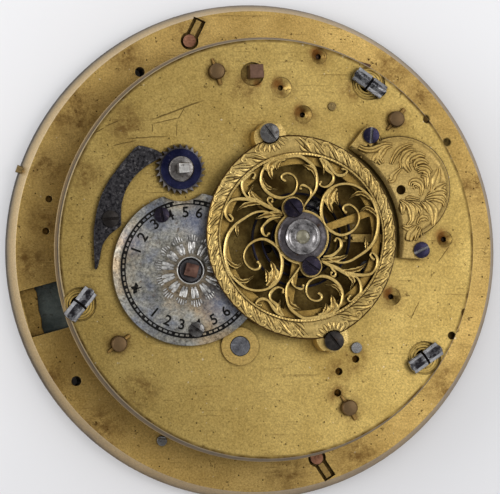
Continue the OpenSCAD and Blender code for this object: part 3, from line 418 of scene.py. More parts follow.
# Motion work
# Steel cannon pinion with brass minute and hour wheels, in the hollow on the dial side.
# The wheels are cut from hard brass sheet and turn on plain studs.
def by_height(low, high, most=1.0):
    """A place for a tint that comes in from one height to another, given in millimetres."""
    return lambda tree, where: between(tree, part_of(tree, where, "Z"), low / 1000, high / 1000, 0.0, most)


wheel_brass = gilt("wheel_brass", (156, 126, 66), (214, 186, 116), rough=0.28, pits=0.25, scratches=0.8,
                   edge=0.00004)
arbor_steel = metal("arbor_steel", (104, 102, 98), (160, 158, 154), rough=0.22, spots=0.3)
# From 9.2 mm up this steel is painted dark: painted shade for the arbors' ends down in the top plate's holes.
tint_where(arbor_steel, by_height(8.9, 9.2), (36, 28, 22))
dress(arbor_steel, "cannon_pinion")
dress(wheel_brass, "minute_wheel", "hour_wheel")


# Train
# Brass wheels with crossed-out arms on steel pinions, from the fusee to the crown wheel.
# The crown wheel lies across the movement in the potence and the counter-potence.
dress(wheel_brass, "great_wheel", "centre_wheel", "third_wheel", "contrate_wheel", "crown_wheel")
dress(arbor_steel, "centre_pinion", "third_pinion", "contrate_pinion", "crown_pinion")
dress(metal("pivot_steel", (80, 80, 84), (148, 149, 154), rough=0.16, cloud_scale=700.0), "fusee_arbor")
dress(gilt("potence_gilt", (138, 110, 58), (196, 166, 100)), "potence", "counter_potence")


# Barrel and its spring
# A turned brass drum with a snapped-in cap. The mainspring is a long band of blued
# steel, wound flat round the arbor inside it.
def curve_point(a, b, c, d, t):
    """A point at the share t from b to c, on a smooth line that also minds a before and d after them."""
    bend = (2 * a - 5 * b + 4 * c - d) * t ** 2 + (3 * b - a - 3 * c + d) * t ** 3
    return (2 * b + (c - a) * t + bend) / 2


def through(points, steps):
    """A smooth line through points in the plane, with so many steps from each to the next."""
    first = [2 * a - b for a, b in zip(points[0], points[1])]
    last = [2 * a - b for a, b in zip(points[-1], points[-2])]
    row = [Vector(point) for point in [first] + list(points) + [last]]
    line = []
    for i in range(1, len(row) - 2):
        line += [curve_point(*row[i - 1 : i + 3], k / steps) for k in range(steps)]
    return line + [row[-2]]


def told(value, *place):
    """A value that is given outright or as a rule of the place."""
    return value(*place) if callable(value) else value


def relief_light_layer(shape):
    """The layer that tells how much painted light each point of a shape gets: bright on crests, dark in
    grooves and along edges.
    """
    layers = shape.verts.layers.float
    return layers.get("lift") or layers.new("lift")


def bar(shape, line, width, low, high, section):
    """A closed bar along a line in the plane, with a section of side, rise and painted light for each corner;
    the painted light follows the rise where it is not given.

    Its width and its lower and upper heights are numbers, or rules of the share run so far and the point.
    """
    lift = relief_light_layer(shape)
    rings = []
    for i, point in enumerate(line):
        share = i / (len(line) - 1)
        ahead = line[min(i + 1, len(line) - 1)] - line[max(i - 1, 0)]
        left = Vector((-ahead.y, ahead.x)).normalized()
        wide, base, crest = (told(value, share, point) for value in (width, low, high))
        ring = []
        for beside, rise, *relief_light in section:
            spot = point + left * (beside * wide / 2)
            vert = shape.verts.new((spot.x, spot.y, base + (crest - base) * rise))
            vert[lift] = relief_light[0] if relief_light else rise
            ring.append(vert)
        rings.append(ring)
    closed(shape, rings)


def towards(degrees):
    """A step of one millimetre at a turn in the plane."""
    turn = math.radians(degrees)
    return Vector((math.cos(turn), math.sin(turn)))


def spiral(centre, start_r, end_r, turns, start, steps):
    """Points of a flat spiral that opens out from its inner end."""
    points = []
    for i in range(round(turns * steps) + 1):
        radius = start_r + (end_r - start_r) * i / (turns * steps)
        points.append(Vector(centre) + towards(start + 360 * i / steps) * radius)
    return points


barrel_at = (-7.93, 7.01)
band_section = [(-1, 0.03), (-0.7, 0), (0.7, 0), (1, 0.03), (1, 0.97), (0.7, 1), (-0.7, 1), (-1, 0.97)]
mainspring = bmesh.new()
mainspring_line = spiral(barrel_at, start_r=1.68, end_r=6.38, turns=6, start=0, steps=64)
bar(mainspring, mainspring_line, width=0.2, low=4.6, high=7.6, section=band_section)
spring_blue = metal("spring_blue", (22, 21, 26), (46, 44, 56), rough=0.3, spots=0.3, spot_colour=(52, 44, 40))
finished("mainspring_coils", mainspring, spring_blue, "barrel", "blued_steel", "mainspring")
barrel_brass = gilt("barrel_brass", (146, 116, 62), (206, 176, 106), rough=0.3, scratches=0.9)
dress(barrel_brass, "barrel_drum", "barrel_cap")


# Fusee
# A brass cone with a screw groove in which the chain lies, so that the pull on the train
# stays even as the mainspring runs down. It is cut on its own small engine.
def lathe(shape, centre, outline, steps, radius_at=None):
    """A closed turned solid from an outline of radius and height. radius_at may change a radius by turn."""
    lift = relief_light_layer(shape)
    rings = []
    for radius, height in outline:
        ring = []
        for k in range(steps):
            turn = 2 * math.pi * k / steps
            reach = radius_at(radius, height, turn) if radius_at else radius
            spot = (centre[0] + reach * math.cos(turn), centre[1] + reach * math.sin(turn), height)
            ring.append(shape.verts.new(spot))
            ring[-1][lift] = 1.0
        rings.append(ring)
    skin(shape, rings + rings[:1])


fusee_at = (-2.53, -8.67)
fusee_bore = 1.12
cone_foot = 4.95
cone_head = 8.4
groove_pitch = 0.85
half_groove = 0.11
span_z = 6.6
drum_r = 7.1


def cone_radius(height):
    return 5 - (height - cone_foot) * 0.5


span_x = barrel_at[0] - fusee_at[0]
span_y = barrel_at[1] - fusee_at[1]
lean_to_drum = math.acos((cone_radius(span_z) + 0.2 - drum_r) / math.hypot(span_x, span_y))
chain_turn = math.atan2(span_y, span_x) + lean_to_drum


def grooved(radius, height, turn):
    """The cone's radius with the chain's groove cut in it."""
    if not cone_foot + 0.02 < height < cone_head - 0.02:
        return radius
    offset = height - span_z + (turn - chain_turn) / (2 * math.pi) * groove_pitch
    return radius + half_groove - half_groove * math.cos(2 * math.pi * offset / groove_pitch)


cone_outline = [(fusee_bore, 4.8), (5.4, 4.8), (5.5, 4.84), (5.5, 4.9), (5.4, 4.93)]
for k in range(61):
    height = cone_foot + (cone_head - cone_foot) * k / 60
    cone_outline.append((cone_radius(height), height))
cone_tip_r = cone_radius(cone_head)
cone_outline += [(cone_tip_r - 0.3, 8.5), (cone_tip_r - 0.5, 8.55), (fusee_bore, 8.55)]
fusee = bmesh.new()
lathe(fusee, fusee_at, cone_outline, 120, grooved)
finished("fusee_groove", fusee, wheel_brass, "fusee", "gilt_brass", "fusee_cone", sharp=50.0)


# Fusee chain
# Riveted steel links, like those of a tiny cycle chain: one plate between two in turn.
# It winds from the barrel to the groove of the fusee, and its last turns lie on both.
def new_tree(name, **inputs):
    """A geometry tree with named inputs, its input and output nodes, and the inputs' identifiers."""
    tree = bpy.data.node_groups.new(name, "GeometryNodeTree")
    tree.interface.new_socket("Geometry", in_out="INPUT", socket_type="NodeSocketGeometry")
    tree.interface.new_socket("Geometry", in_out="OUTPUT", socket_type="NodeSocketGeometry")
    keys = {}
    for key, kind in inputs.items():
        keys[key] = tree.interface.new_socket(key, in_out="INPUT", socket_type=kind).identifier
    return tree, tree.nodes.new("NodeGroupInput"), tree.nodes.new("NodeGroupOutput"), keys


def grown(name, mesh, tree, keys, **values):
    """The plain shape that a geometry tree makes of a mesh."""
    piece = bpy.data.objects.new(name, mesh)
    scene.collection.objects.link(piece)
    grower = piece.modifiers.new("grow", "NODES")
    grower.node_group = tree
    for key, value in values.items():
        grower[keys[key]] = value
    view = bpy.context.evaluated_depsgraph_get()
    result = bpy.data.meshes.new_from_object(piece.evaluated_get(view))
    piece.modifiers.remove(grower)
    bpy.data.objects.remove(piece)
    return result


def moved(tree, geometry, place, scale=(1.0, 1.0, 1.0)):
    values = {"Geometry": geometry, "Translation": place, "Scale": scale}
    return node(tree, "GeometryNodeTransform", values).outputs["Geometry"]


def combine(tree, x, y, z):
    return node(tree, "ShaderNodeCombineXYZ", {"X": x, "Y": y, "Z": z}).outputs["Vector"]


def joined(tree, *parts):
    made = node(tree, "GeometryNodeJoinGeometry")
    for part in parts:
        tree.links.new(part, made.inputs["Geometry"])
    return made.outputs["Geometry"]


def solid(tree, kind, **sizes):
    """A plain cylinder, cube or ball."""
    return node(tree, "GeometryNodeMesh" + kind, sizes).outputs["Mesh"]


def raised(tree, geometry, height):
    return moved(tree, geometry, combine(tree, 0.0, 0.0, height))


def end_tree(tree, instances, given, result):
    """Ends a tree: what was set out becomes plain mesh in the finish given."""
    real = node(tree, "GeometryNodeRealizeInstances", {"Geometry": instances}).outputs["Geometry"]
    values = {"Geometry": real, "Material": given.outputs["Finish"]}
    dressed = node(tree, "GeometryNodeSetMaterial", values).outputs["Geometry"]
    tree.links.new(dressed, result.inputs["Geometry"])


def riveted_chain():
    """A tree that sets links along a line: a single plate and a riveted pair of plates in turn."""
    tree, given, result, keys = new_tree("riveted_chain", Pitch="NodeSocketFloat", Width="NodeSocketFloat",
                                         Plate="NodeSocketFloat", Finish="NodeSocketMaterial")
    pitch, wide, plate = (given.outputs[key] for key in ("Pitch", "Width", "Plate"))
    half_pitch = times(tree, pitch, 0.5)
    eye = solid(tree, "Cylinder", Vertices=8, Radius=times(tree, wide, 0.5), Depth=plate)
    waist = solid(tree, "Cube", Size=combine(tree, pitch, times(tree, wide, 0.55), times(tree, plate, 0.98)))
    ends = [combine(tree, half_pitch, 0.0, 0.0), combine(tree, times(tree, half_pitch, -1.0), 0.0, 0.0)]
    link = joined(tree, waist, *[moved(tree, eye, end) for end in ends])
    lift = times(tree, plate, 1.12)
    rivet = solid(tree, "Cylinder", Vertices=6, Radius=times(tree, wide, 0.2), Depth=times(tree, plate, 3.5))
    pair = [raised(tree, link, height) for height in (lift, times(tree, lift, -1.0))]
    outer = joined(tree, *pair, *[moved(tree, rivet, end) for end in ends])
    path = node(tree, "GeometryNodeMeshToCurve", {"Mesh": given.outputs["Geometry"]}).outputs["Curve"]
    spaced = node(tree, "GeometryNodeResampleCurve", {"Curve": path, "Length": pitch}, mode="LENGTH")
    along = node(tree, "GeometryNodeInputTangent").outputs["Tangent"]
    axes = {"Primary Axis": along, "Secondary Axis": (0.0, 0.0, 1.0)}
    laid = node(tree, "FunctionNodeAxesToRotation", axes, primary_axis="X", secondary_axis="Z")
    odd = maths(tree, "MODULO", node(tree, "GeometryNodeInputIndex").outputs["Index"], 2.0)
    rows = []
    for chosen, shape in ((odd, link), (maths(tree, "SUBTRACT", 1.0, odd), outer)):
        values = {"Points": spaced.outputs["Curve"], "Selection": chosen, "Instance": shape,
                  "Rotation": laid.outputs["Rotation"]}
        rows.append(node(tree, "GeometryNodeInstanceOnPoints", values).outputs["Instances"])
    end_tree(tree, joined(tree, *rows), given, result)
    return tree, keys


def coil_point(i, centre, way, radius_at):
    """A point of the chain on a coil round a centre, i steps of six degrees from the free span."""
    turn = chain_turn + way * 2 * math.pi * i / 60
    height = span_z - i / 60 * groove_pitch
    radius = told(radius_at, height)
    return centre[0] + radius * math.cos(turn), centre[1] + radius * math.sin(turn), height


def on_cone(height):
    """The radius at which the middle of the chain lies in the groove."""
    return cone_radius(height) + 0.35


chain_path = [coil_point(i, fusee_at, 1, on_cone) for i in range(96, -1, -1)]
on_drum = drum_r + 0.15
chain_path += [coil_point(i, barrel_at, -1, on_drum) for i in range(121)]
chain_line = bpy.data.meshes.new("chain_line")
chain_line.from_pydata(chain_path, [(i, i + 1) for i in range(len(chain_path) - 1)], [])
chain_steel = metal("chain_steel", (70, 68, 64), (132, 130, 126), rough=0.3, spots=0.5, edge=0.00002)
chain_tree, chain_keys = riveted_chain()
chain_mesh = grown("chain", chain_line, chain_tree, chain_keys, Pitch=0.62, Width=0.3, Plate=0.1,
                   Finish=chain_steel)
chain = bmesh.new()
chain.from_mesh(chain_mesh)
finished("chain_links", chain, chain_steel, "frame", "steel", "fusee_chain")


# Strike work
# A short train of small wheels with a fly, which paces the hammer, and the lever that
# lets it go. Only the ends of their arbors show above the top plate.
brown_steel = metal("brown_steel", (78, 58, 48), (124, 96, 80), rough=0.4, spots=0.6,
                    spot_colour=(64, 40, 26))
dress(wheel_brass, "repeat_second_wheel")
dress(brown_steel, "repeat_great_wheel", "hammer")
dress(arbor_steel, "repeat_fly", "strike_lever")


# Pillars
# Four turned brass pillars riveted in the pillar plate. Their upper ends come through the
# top plate, and taper pins pushed through them hold it down.
def close_poles(shape):
    """Merges the tiny rings that turned solids leave where they reach their axis."""
    bmesh.ops.remove_doubles(shape, verts=shape.verts, dist=0.0003)


def add_mesh(shape, mesh, matrix):
    mesh.transform(matrix)
    shape.from_mesh(mesh)


on_axis = 0.0001
pillar_places = [(-4.63, 15.74), (11.6, 11.64), (7.31, -14.14), (-13.37, -8.48)]
pillar_pin_turns = [-72, 50, -58, 38]
pillar_middle = 6.2
lower_half = [(1.1, 3.4), (1.15, 3.46), (1.15, 3.74), (1.08, 3.84), (0.92, 3.9), (0.98, 4.0), (0.98, 4.12),
              (0.8, 4.2), (0.74, 4.7), (0.82, 5.4), (0.95, 5.9)]
upper_half = [(radius, 2 * pillar_middle - height) for radius, height in lower_half[::-1]]
pillar_foot = [(on_axis, 1.85), (0.85, 1.85), (0.85, 3.4)]
pillar_end = [(0.7, 9.0), (0.7, 11.08), (0.6, 11.2), (0.4, 11.25), (on_axis, 11.25)]
pillar_outline = pillar_foot + lower_half + [(0.98, pillar_middle)] + upper_half + pillar_end
pillars = bmesh.new()
for place in pillar_places:
    lathe(pillars, place, pillar_outline, 40)
close_poles(pillars)
pillar_gilt = gilt("pillar_gilt", (146, 116, 62), (192, 160, 94), pits=0.9, rough=0.36)
tint_where(pillar_gilt, by_height(10.0, 10.4, 0.9), (98, 78, 58))
finished("turned_pillars", pillars, pillar_gilt, "frame", "gilt_brass", "pillars")

pin_outline = [(on_axis, -1.25), (0.09, -1.24), (0.12, -1.2), (0.18, 1.18), (0.14, 1.24), (on_axis, 1.25)]
pin_height = 10.58
pins = bmesh.new()
for (x, y), turn in zip(pillar_places, pillar_pin_turns):
    pin = bmesh.new()
    lathe(pin, (0, 0), pin_outline, 24)
    close_poles(pin)
    loose_pin = bpy.data.meshes.new("pin")
    pin.to_mesh(loose_pin)
    pin.free()
    lay = Matrix.Translation((x, y, pin_height)) @ Matrix.Rotation(math.radians(turn), 4, "Z")
    add_mesh(pins, loose_pin, lay @ Matrix.Rotation(math.radians(90), 4, "Y"))
pin_brass = gilt("pin_brass", (122, 94, 52), (176, 142, 84), pits=0.8)
finished("taper_pins", pins, pin_brass, "frame", "gilt_brass", "pillar_pins")


# Top plate
# The gilt brass plate on which the seen work stands, with a slightly sloping edge.
# It has lived with keys and thumbs: scratches run over it and brown rings stand round the holes.
top_face = 10.4
verge_at = (2.65, 0.98)
contrate_at = (11.24, -4.22)
cover_hole = (11.9, 5.29)
key_places = [(9.15, 14.85, -35), (-16.85, -5, 52), (14.2, -9.7, 35)]
sinks = [(1.23, 14.39), (3.21, 12.0), (16.06, 0.94), (4.66, 17.22), contrate_at]
sink_stain_radii = (1.7, 1.6, 1.5, 1.5, 1.7)
top_stains = [(-2.0, 14.3, 1.8), (-12.5, 11.0, 2.4), (-16.4, 6.5, 2.0), (7.96, -9.8, 1.5), (6.44, -10.9, 1.5),
              (6.33, -12.8, 1.4), (-11.5, -12.6, 2.2), (7.4, 14.2, 1.4)]
top_stains += [(x, y, radius) for (x, y), radius in zip(sinks, sink_stain_radii)]
top_stains += [(x, y, 1.6) for x, y in pillar_places]
sink_rust = [(x - 0.3, y + 0.35, 0.7) for x, y in sinks] + [(-0.9, 14.8, 0.5)]
edge_notches = [(14.47, 11.68), (16.34, 9.65), (17.94, -5.61), (16.7, -7.69)]
bores = [(*cover_hole, 0.7)] + [(x, y, 0.26) for x, y in sinks] + [(x, y, 0.42) for x, y in edge_notches]
# The top plate under the balance is darkened as painted shade under the bridge with oil grime, and its holes,
# sinks and notches and the cover's hole are painted near black as painted shade.
top_shade_and_oil_grime = [((62, 46, 20), 0.75, [(*verge_at, 9.4)]), ((50, 38, 18), 0.75, bores),
            ((8, 7, 6), 0.8, [(*cover_hole, 0.9)])]
# Painted light on the top plate's edge: pale painted highlights at its foot and along its top bevel, with
# darker bands of painted shade between.
top_rim_light = [(9.0, (190, 166, 118)), (9.22, (180, 154, 104)), (9.3, (118, 92, 48)), (9.72, (124, 98, 52)),
           (9.8, (62, 48, 26)), (10.02, (66, 52, 30)), (10.12, (190, 166, 116)), (10.4, (204, 180, 132))]
top_scores = [((-10.69, 11.31), (-5.6, 13.26), 0.1), ((-10.36, 11.05), (-7.89, 11.63), 0.06),
              ((-10.36, 11.05), (-10.4, 10.23), 0.06), ((-7.44, 12.57), (-8.12, 11.41), 0.06),
              ((-8.12, 11.41), (-8.23, 9.85), 0.05), ((-14.6, 10.79), (-13.26, 11.31), 0.06),
              ((-15.72, 10.11), (-14.6, 10.68), 0.06), ((-14.06, 9.04), (-11.7, 9.6), 0.06),
              ((-12.73, 9.7), (-8.79, 9.96), 0.06), ((15.34, -1.22), (16.56, 0.42), 0.06),
              ((12.9, -6.31), (13.81, -4.51), 0.06)]
key_sinks = [(x, y, 1.5) for x, y, turn in key_places]
top_gilt = gilt("top_plate_gilt", (166, 139, 76), (202, 174, 104), pits=0.8, scratches=1.2, dust=0.45,
                shade=0.25, stains=top_stains, rust=sink_rust, shade_and_oil_grime=top_shade_and_oil_grime, scores=top_scores,
                grime=(18.36, 18.56), turned=key_sinks, rim=top_rim_light)
dress(top_gilt, "top_plate")
dress(gilt("bush_gilt", (150, 120, 64), (206, 176, 106), rough=0.3), "fusee_bush")


# Set-up ratchet and click
# The steel ratchet wheel on the barrel arbor sets the mainspring up. Its blued cap is worn
# bright at the middle, and a pitted steel click with a long tail holds it.
dress(metal("ratchet_steel", (72, 68, 69), (140, 135, 134), rough=0.3, spots=0.6), "setup_ratchet")
cap_blue = metal("cap_blue", (22, 24, 48), (50, 52, 84), rough=0.16, spots=0.4, spot_colour=(76, 70, 84))
dress(cap_blue, "ratchet_cap")

arbor = bmesh.new()
arbor_outline = [(on_axis, 1.8), (0.8, 1.8), (0.8, 3.5), (1, 3.5), (1, 4.5), (1.5, 4.5), (1.5, 7.8),
                 (1, 7.8), (1, 8.8), (0.95, 8.8), (0.95, 11.42), (1.12, 11.42), (1.12, 11.6),
                 (1.02, 11.68), (0.74, 11.72), (0.5, 11.75), (on_axis, 11.75)]
lathe(arbor, barrel_at, arbor_outline, 48)
close_poles(arbor)
worn_steel = metal("worn_steel", (60, 54, 52), (142, 138, 134), rough=0.2, cloud_scale=900.0, spots=0.6)
finished("worn_arbor", arbor, worn_steel, "setup", "steel", "barrel_arbor", sharp=25.0)


def squared(centre, wide, turn, low, high):
    """The end of an arbor, filed square to take a key."""
    shape = bmesh.new()
    half = towards(turn) * (wide / 2)
    line = [Vector(centre) + half * share for share in (-1, -0.95, 0, 0.95, 1)]
    bar(shape, line, wide, low, high, [(-1, 0), (-1, 0.97), (-0.92, 1), (0.92, 1), (1, 0.97), (1, 0)])
    return shape


square_foot = 11.6
square = squared(barrel_at, wide=0.88, turn=4, low=square_foot, high=13.35)
square_steel = metal("square_steel", (150, 147, 143), (232, 230, 226), rough=0.24, cloud_scale=900.0,
                     spots=0.7)
finished("setup_square", square, square_steel, "setup", "steel")

click_points = [(-9.62, 8.16), (-10.1, 8.62), (-11.67, 9.02), (-12.5, 8.2), (-13.25, 7.32), (-14.29, 5.88),
                (-14.94, 4.58), (-15.33, 3.28), (-15.59, 1.59), (-15.58, 0.03), (-15.48, -1.91),
                (-15.26, -1.26), (-14.93, 0.3), (-14.29, 1.21), (-13.31, 2), (-13.31, 2.78),
                (-13.24, 3.94), (-12.85, 5.24), (-12.06, 6.41), (-11.02, 7.33)]
click_line = []
for i in range(len(click_points)):
    a, b, c, d = (Vector(click_points[(i + step) % len(click_points)]) for step in (-1, 0, 1, 2))
    sharp_turn = min((c - b).angle(b - a), (d - c).angle(c - b)) > 0.9
    for k in range(4):
        straight = b.lerp(c, k / 4)
        bent = curve_point(a, b, c, d, k / 4)
        click_line.append(straight if sharp_turn else (straight + bent) / 2)
click_plate = bmesh.new()
outlined(click_plate, click_line[::-1], low=10.5, high=11.0, chamfer=0.07)
pitted = metal("click_steel", (24, 23, 26), (76, 74, 76), rough=0.26, cloud_scale=4600.0, spots=0.6,
               spot_colour=(126, 122, 120))
finished("pitted_click", click_plate, pitted, "click", "steel", "click")


# Balance
# The balance wheel of brass on its steel verge, with the flat spiral spring of blued steel
# pinned to a collet within and to a stud without.
balance_spring = bmesh.new()
balance_line = spiral(verge_at, start_r=1.18, end_r=4.75, turns=4, start=60, steps=72)
bar(balance_spring, balance_line, width=0.2, low=10.95, high=11.3, section=band_section)
finished("balance_coils", balance_spring, spring_blue, "frame", "blued_steel", "balance_spring")
balance_gilt = gilt("balance_gilt", (128, 100, 48), (196, 162, 90), rough=0.24, pits=0.3, edge=0.00012)
dress(balance_gilt, "balance_wheel")
dress(arbor_steel, "verge_staff", "spring_stud")
dress(wheel_brass, "spring_collet", "regulator_rack")


# Regulator dial
# A silvered brass disc with a bevelled rim, a track and a rosette cut in it and filled or left
# bright. It is screwed over the rack, and a key turns the rusty square at its middle.
def slab(shape, centre, hole, inside, far, rays, shares, top, under, relief_light=1.0):
    """A closed flat piece round a hole, out to where inside no longer holds.

    Its top and under heights and its painted light are numbers, or rules of the place.
    """
    lift = relief_light_layer(shape)
    columns = []
    for k in range(rays):
        out = towards(360 * k / rays)

        def holds(reach):
            return inside(centre[0] + out.x * reach, centre[1] + out.y * reach)

        near = hole
        while near < far and holds(near + 0.05):
            near += 0.05
        beyond = near + 0.05
        for _ in range(10):
            half = (near + beyond) / 2
            if holds(half):
                near = half
            else:
                beyond = half
        spots = [Vector(centre) + out * (hole + (near - hole) * share) for share in shares]
        column = []
        for height in (top, under):
            column.append([shape.verts.new((*spot, told(height, *spot))) for spot in spots])
        for vert in column[0] + column[1]:
            vert[lift] = told(relief_light, vert.co.x, vert.co.y)
        columns.append(column)
    for (up_a, low_a), (up_b, low_b) in zip(columns, columns[1:] + columns[:1]):
        for k in range(len(shares) - 1):
            shape.faces.new((up_a[k], up_a[k + 1], up_b[k + 1], up_b[k]))
            shape.faces.new((low_a[k], low_b[k], low_b[k + 1], low_a[k + 1]))
        shape.faces.new((up_a[-1], low_a[-1], low_b[-1], up_b[-1]))
        shape.faces.new((up_a[0], up_b[0], low_b[0], low_a[0]))


def away(x, y, place):
    return math.hypot(x - place[0], y - place[1])


dial_at = (-7.1, -1.98)
disc_at = (-7.2, -1.85)
disc_r = 6.8
disc_face = 11.5
ratchet_cut = 2.87
bridge_cut = 7.6


def on_disc(x, y):
    clear = away(x, y, verge_at) > bridge_cut and away(x, y, barrel_at) > ratchet_cut
    return clear and away(x, y, disc_at) < disc_r


def disc_top(x, y):
    """The disc's face slopes at the rim and along the ratchet, with a ridge round the square."""
    height = disc_face - max(0.0, away(x, y, disc_at) - 6.22) * 0.5
    height -= max(0.0, 0.18 - (away(x, y, barrel_at) - ratchet_cut)) * 0.5
    ridge = away(x, y, dial_at) - 1.17
    return height + max(0.0, 0.07 - 5 * ridge * ridge)


def disc_under(x, y):
    skirt = away(x, y, disc_at) > 6.2 and away(x, y, verge_at) > 8.55
    if away(x, y, fusee_at) < 1.8:
        return 10.82
    return top_face if skirt else 11.0


def silvered(name):
    """Old silvering: grey to yellowish clouds, bluish tarnish, dark specks, a hatched middle, and corners
    darkened as painted shade with grime.
    """
    material, tree, surface, where = new_finish(name)
    cloud = grain(tree, where, 420.0, 9.0, 0.7)
    fine = grain(tree, where, 4200.0, 5.0, 0.75)
    tone = ramp(tree, grain(tree, where, 240.0, 5.0, 0.6), (0.36, photo_colour(126, 129, 136)),
                (0.48, photo_colour(160, 157, 147)), (0.62, photo_colour(162, 144, 118)))
    tone = mixed(tree, "MULTIPLY", 1.0, tone, ramp(tree, cloud, (0.38, 0.56), (0.6, 1.2)))
    tone = mixed(tree, "MULTIPLY", 1.0, tone, ramp(tree, fine, (0.34, 0.34), (0.64, 1.3)))
    tarnish = patches(tree, where, [(-6.4, 2.2, 2.2), (-4.3, -4.9, 2.4), (-12.2, 0.6, 1.6)], 0.0)
    tone = tinted(tree, tone, times(tree, 0.34, tarnish), (84, 102, 154))
    hatched = times(tree, patches(tree, where, [(*dial_at, 3.7)], 0.66), 0.42)
    tone = mixed(tree, "MULTIPLY", hatched, tone, photo_colour(96, 98, 104))
    tone = tinted(tree, tone, patches(tree, where, [(*dial_at, 1.24)], 0.95), (204, 204, 202))
    speck = ramp(tree, grain(tree, where, 1500.0, 4.0, 0.75), (0.6, 0.0), (0.68, 0.7))
    # Corners and recesses darkened: painted shade with grime.
    tone = corner_shade_and_grime(tree, tinted(tree, tone, speck, (84, 66, 48)), 0.0004, (40, 34, 28))
    relief = rounded_edges(tree, 0.00006, maths(tree, "SUBTRACT", fine, speck), 0.000012)
    connect(tree, surface, Base_Color=tone, Metallic=1.0, Normal=relief,
            Roughness=ramp(tree, cloud, (0.3, 0.42), (0.7, 0.28)))
    return material


disc_shares = [0, 0.02, 0.04, 0.07] + [0.1 + 0.78 * k / 10 for k in range(11)] + [0.91, 0.94, 0.97, 0.99, 1]
disc = bmesh.new()
slab(disc, dial_at, hole=1.05, inside=on_disc, far=8.0, rays=480, shares=disc_shares, top=disc_top,
     under=disc_under)
finished("regulator_disc", disc, silvered("disc_silver"), "frame", "silvered_brass", "regulator_dial")

flat_section = [(-1, 0), (-1, 0.7), (-0.8, 1), (0.8, 1), (1, 0.7), (1, 0)]
mark_foot = 11.46
mark_face = 11.512
marks = bmesh.new()


def markable(point):
    return on_disc(*point) and away(*point, barrel_at) > 3.0


def arc_bars(shape, radius, width):
    """Ring lines on the disc, broken where its edge is cut away."""
    last = 540
    run = []
    for k in range(last + 1):
        point = Vector(disc_at) + towards(k * 360 / last) * radius
        on_face = markable(point)
        if on_face:
            run.append(point)
        if len(run) > 3 and (k == last or not on_face):
            bar(shape, run, width, mark_foot, mark_face, flat_section)
            run = []


arc_bars(marks, 5.76, 0.13)
arc_bars(marks, 6.07, 0.18)
for k in range(72):
    start, end = (Vector(disc_at) + towards(5 * k + 1) * radius for radius in (5.8, 6.06))
    if markable(end):
        broad = 0.32 if k % 3 == 0 else 0.18
        bar(marks, [start, (start + end) / 2, end], broad, mark_foot, mark_face - 0.002, flat_section)


def number_mesh(text, size):
    """A filled numeral, centred, with a flat raised face."""
    letters = bpy.data.curves.new("number", "FONT")
    letters.body = text
    letters.size = size
    letters.offset = 0.018 * size
    letters.extrude = 0.026
    letters.align_x = "CENTER"
    letters.align_y = "CENTER"
    holder = bpy.data.objects.new("number", letters)
    scene.collection.objects.link(holder)
    bpy.context.view_layer.update()
    mesh = bpy.data.meshes.new_from_object(holder.evaluated_get(bpy.context.evaluated_depsgraph_get()))
    bpy.data.objects.remove(holder)
    return mesh


number_ring = 5.0
number_z = 11.486
number_turns = [(161, 146, 128, 110, 94, 80), (-129, -113, -98, -81, -64, -49)]
for turns, way in zip(number_turns, (-90, 90)):
    for k, turn in enumerate(turns):
        spot = Vector(disc_at) + towards(turn) * number_ring
        place = Matrix.Translation((*spot, number_z)) @ Matrix.Rotation(math.radians(turn + way), 4, "Z")
        add_mesh(marks, number_mesh(str(k + 1), size=1.3), place)
cross_at = Vector((-11.9, -3.62))
for turn in (100, 168, 236):
    bar(marks, [cross_at + towards(turn) * reach for reach in (0.0, 0.25, 0.52)],
        lambda share, spot: 0.12 + 0.3 * math.sin(math.pi * share), mark_foot, mark_face, flat_section)
cross_stem = [Vector(point) for point in ((-11.95, -3.64), (-11.7, -3.55), (-11.45, -3.46))]
bar(marks, cross_stem, 0.12, mark_foot, mark_face, flat_section)
wax = metal("mark_wax", (6, 6, 6), (26, 24, 22), rough=0.6, spots=0.25, spot_colour=(84, 80, 74))
connect(wax.node_tree, wax.node_tree.nodes["Principled BSDF"], Metallic=0.0, Specular_IOR_Level=0.1)
finished("dial_marks", marks, wax, "frame", "silvered_brass")

rosette = bmesh.new()
petal_section = [(-1, 0), (-0.9, 0.55), (-0.45, 1), (0, 0.86), (0.45, 1), (0.9, 0.55), (1, 0)]


def petal_width(wide):
    """Width along a petal that is broadest past its middle."""
    return lambda share, spot: wide * (0.25 + 0.75 * math.sin(math.pi * (0.08 + 0.7 * share)))


for k in range(13):
    middle = 87 + k * 360 / 13
    petals = [(middle + step * 9.0, 1.5, 2.55 + 0.1 * math.sin(5 * k), 0.36) for step in (-0.5, 0.5)]
    for step in range(-2, 3):
        petals.append((middle + step * 4.2, 2.66, 3.24 - 0.06 * step * step + 0.08 * math.sin(3 * k), 0.18))
    for turn, start_r, end_r, wide in petals:
        line = [Vector(dial_at) + towards(turn) * (start_r + (end_r - start_r) * j / 6) for j in range(7)]
        if all(away(*point, verge_at) > bridge_cut + 0.1 for point in line):
            bar(rosette, line, petal_width(wide), low=11.48, high=11.56, section=petal_section)
petal_silver = metal("petal_silver", (112, 110, 108), (226, 224, 220), rough=0.28, cloud_scale=1300.0,
                     spots=0.6, spot_colour=(90, 80, 72))
finished("dial_rosette", rosette, petal_silver, "frame", "silvered_brass")

keyed = bmesh.new()
tooth_r = 1.95
to_verge = math.atan2(verge_at[1] - dial_at[1], verge_at[0] - dial_at[0])


def toothed(radius, height, turn):
    return radius - 0.19 * (1 + math.cos(15 * (turn - to_verge))) if radius == tooth_r else radius


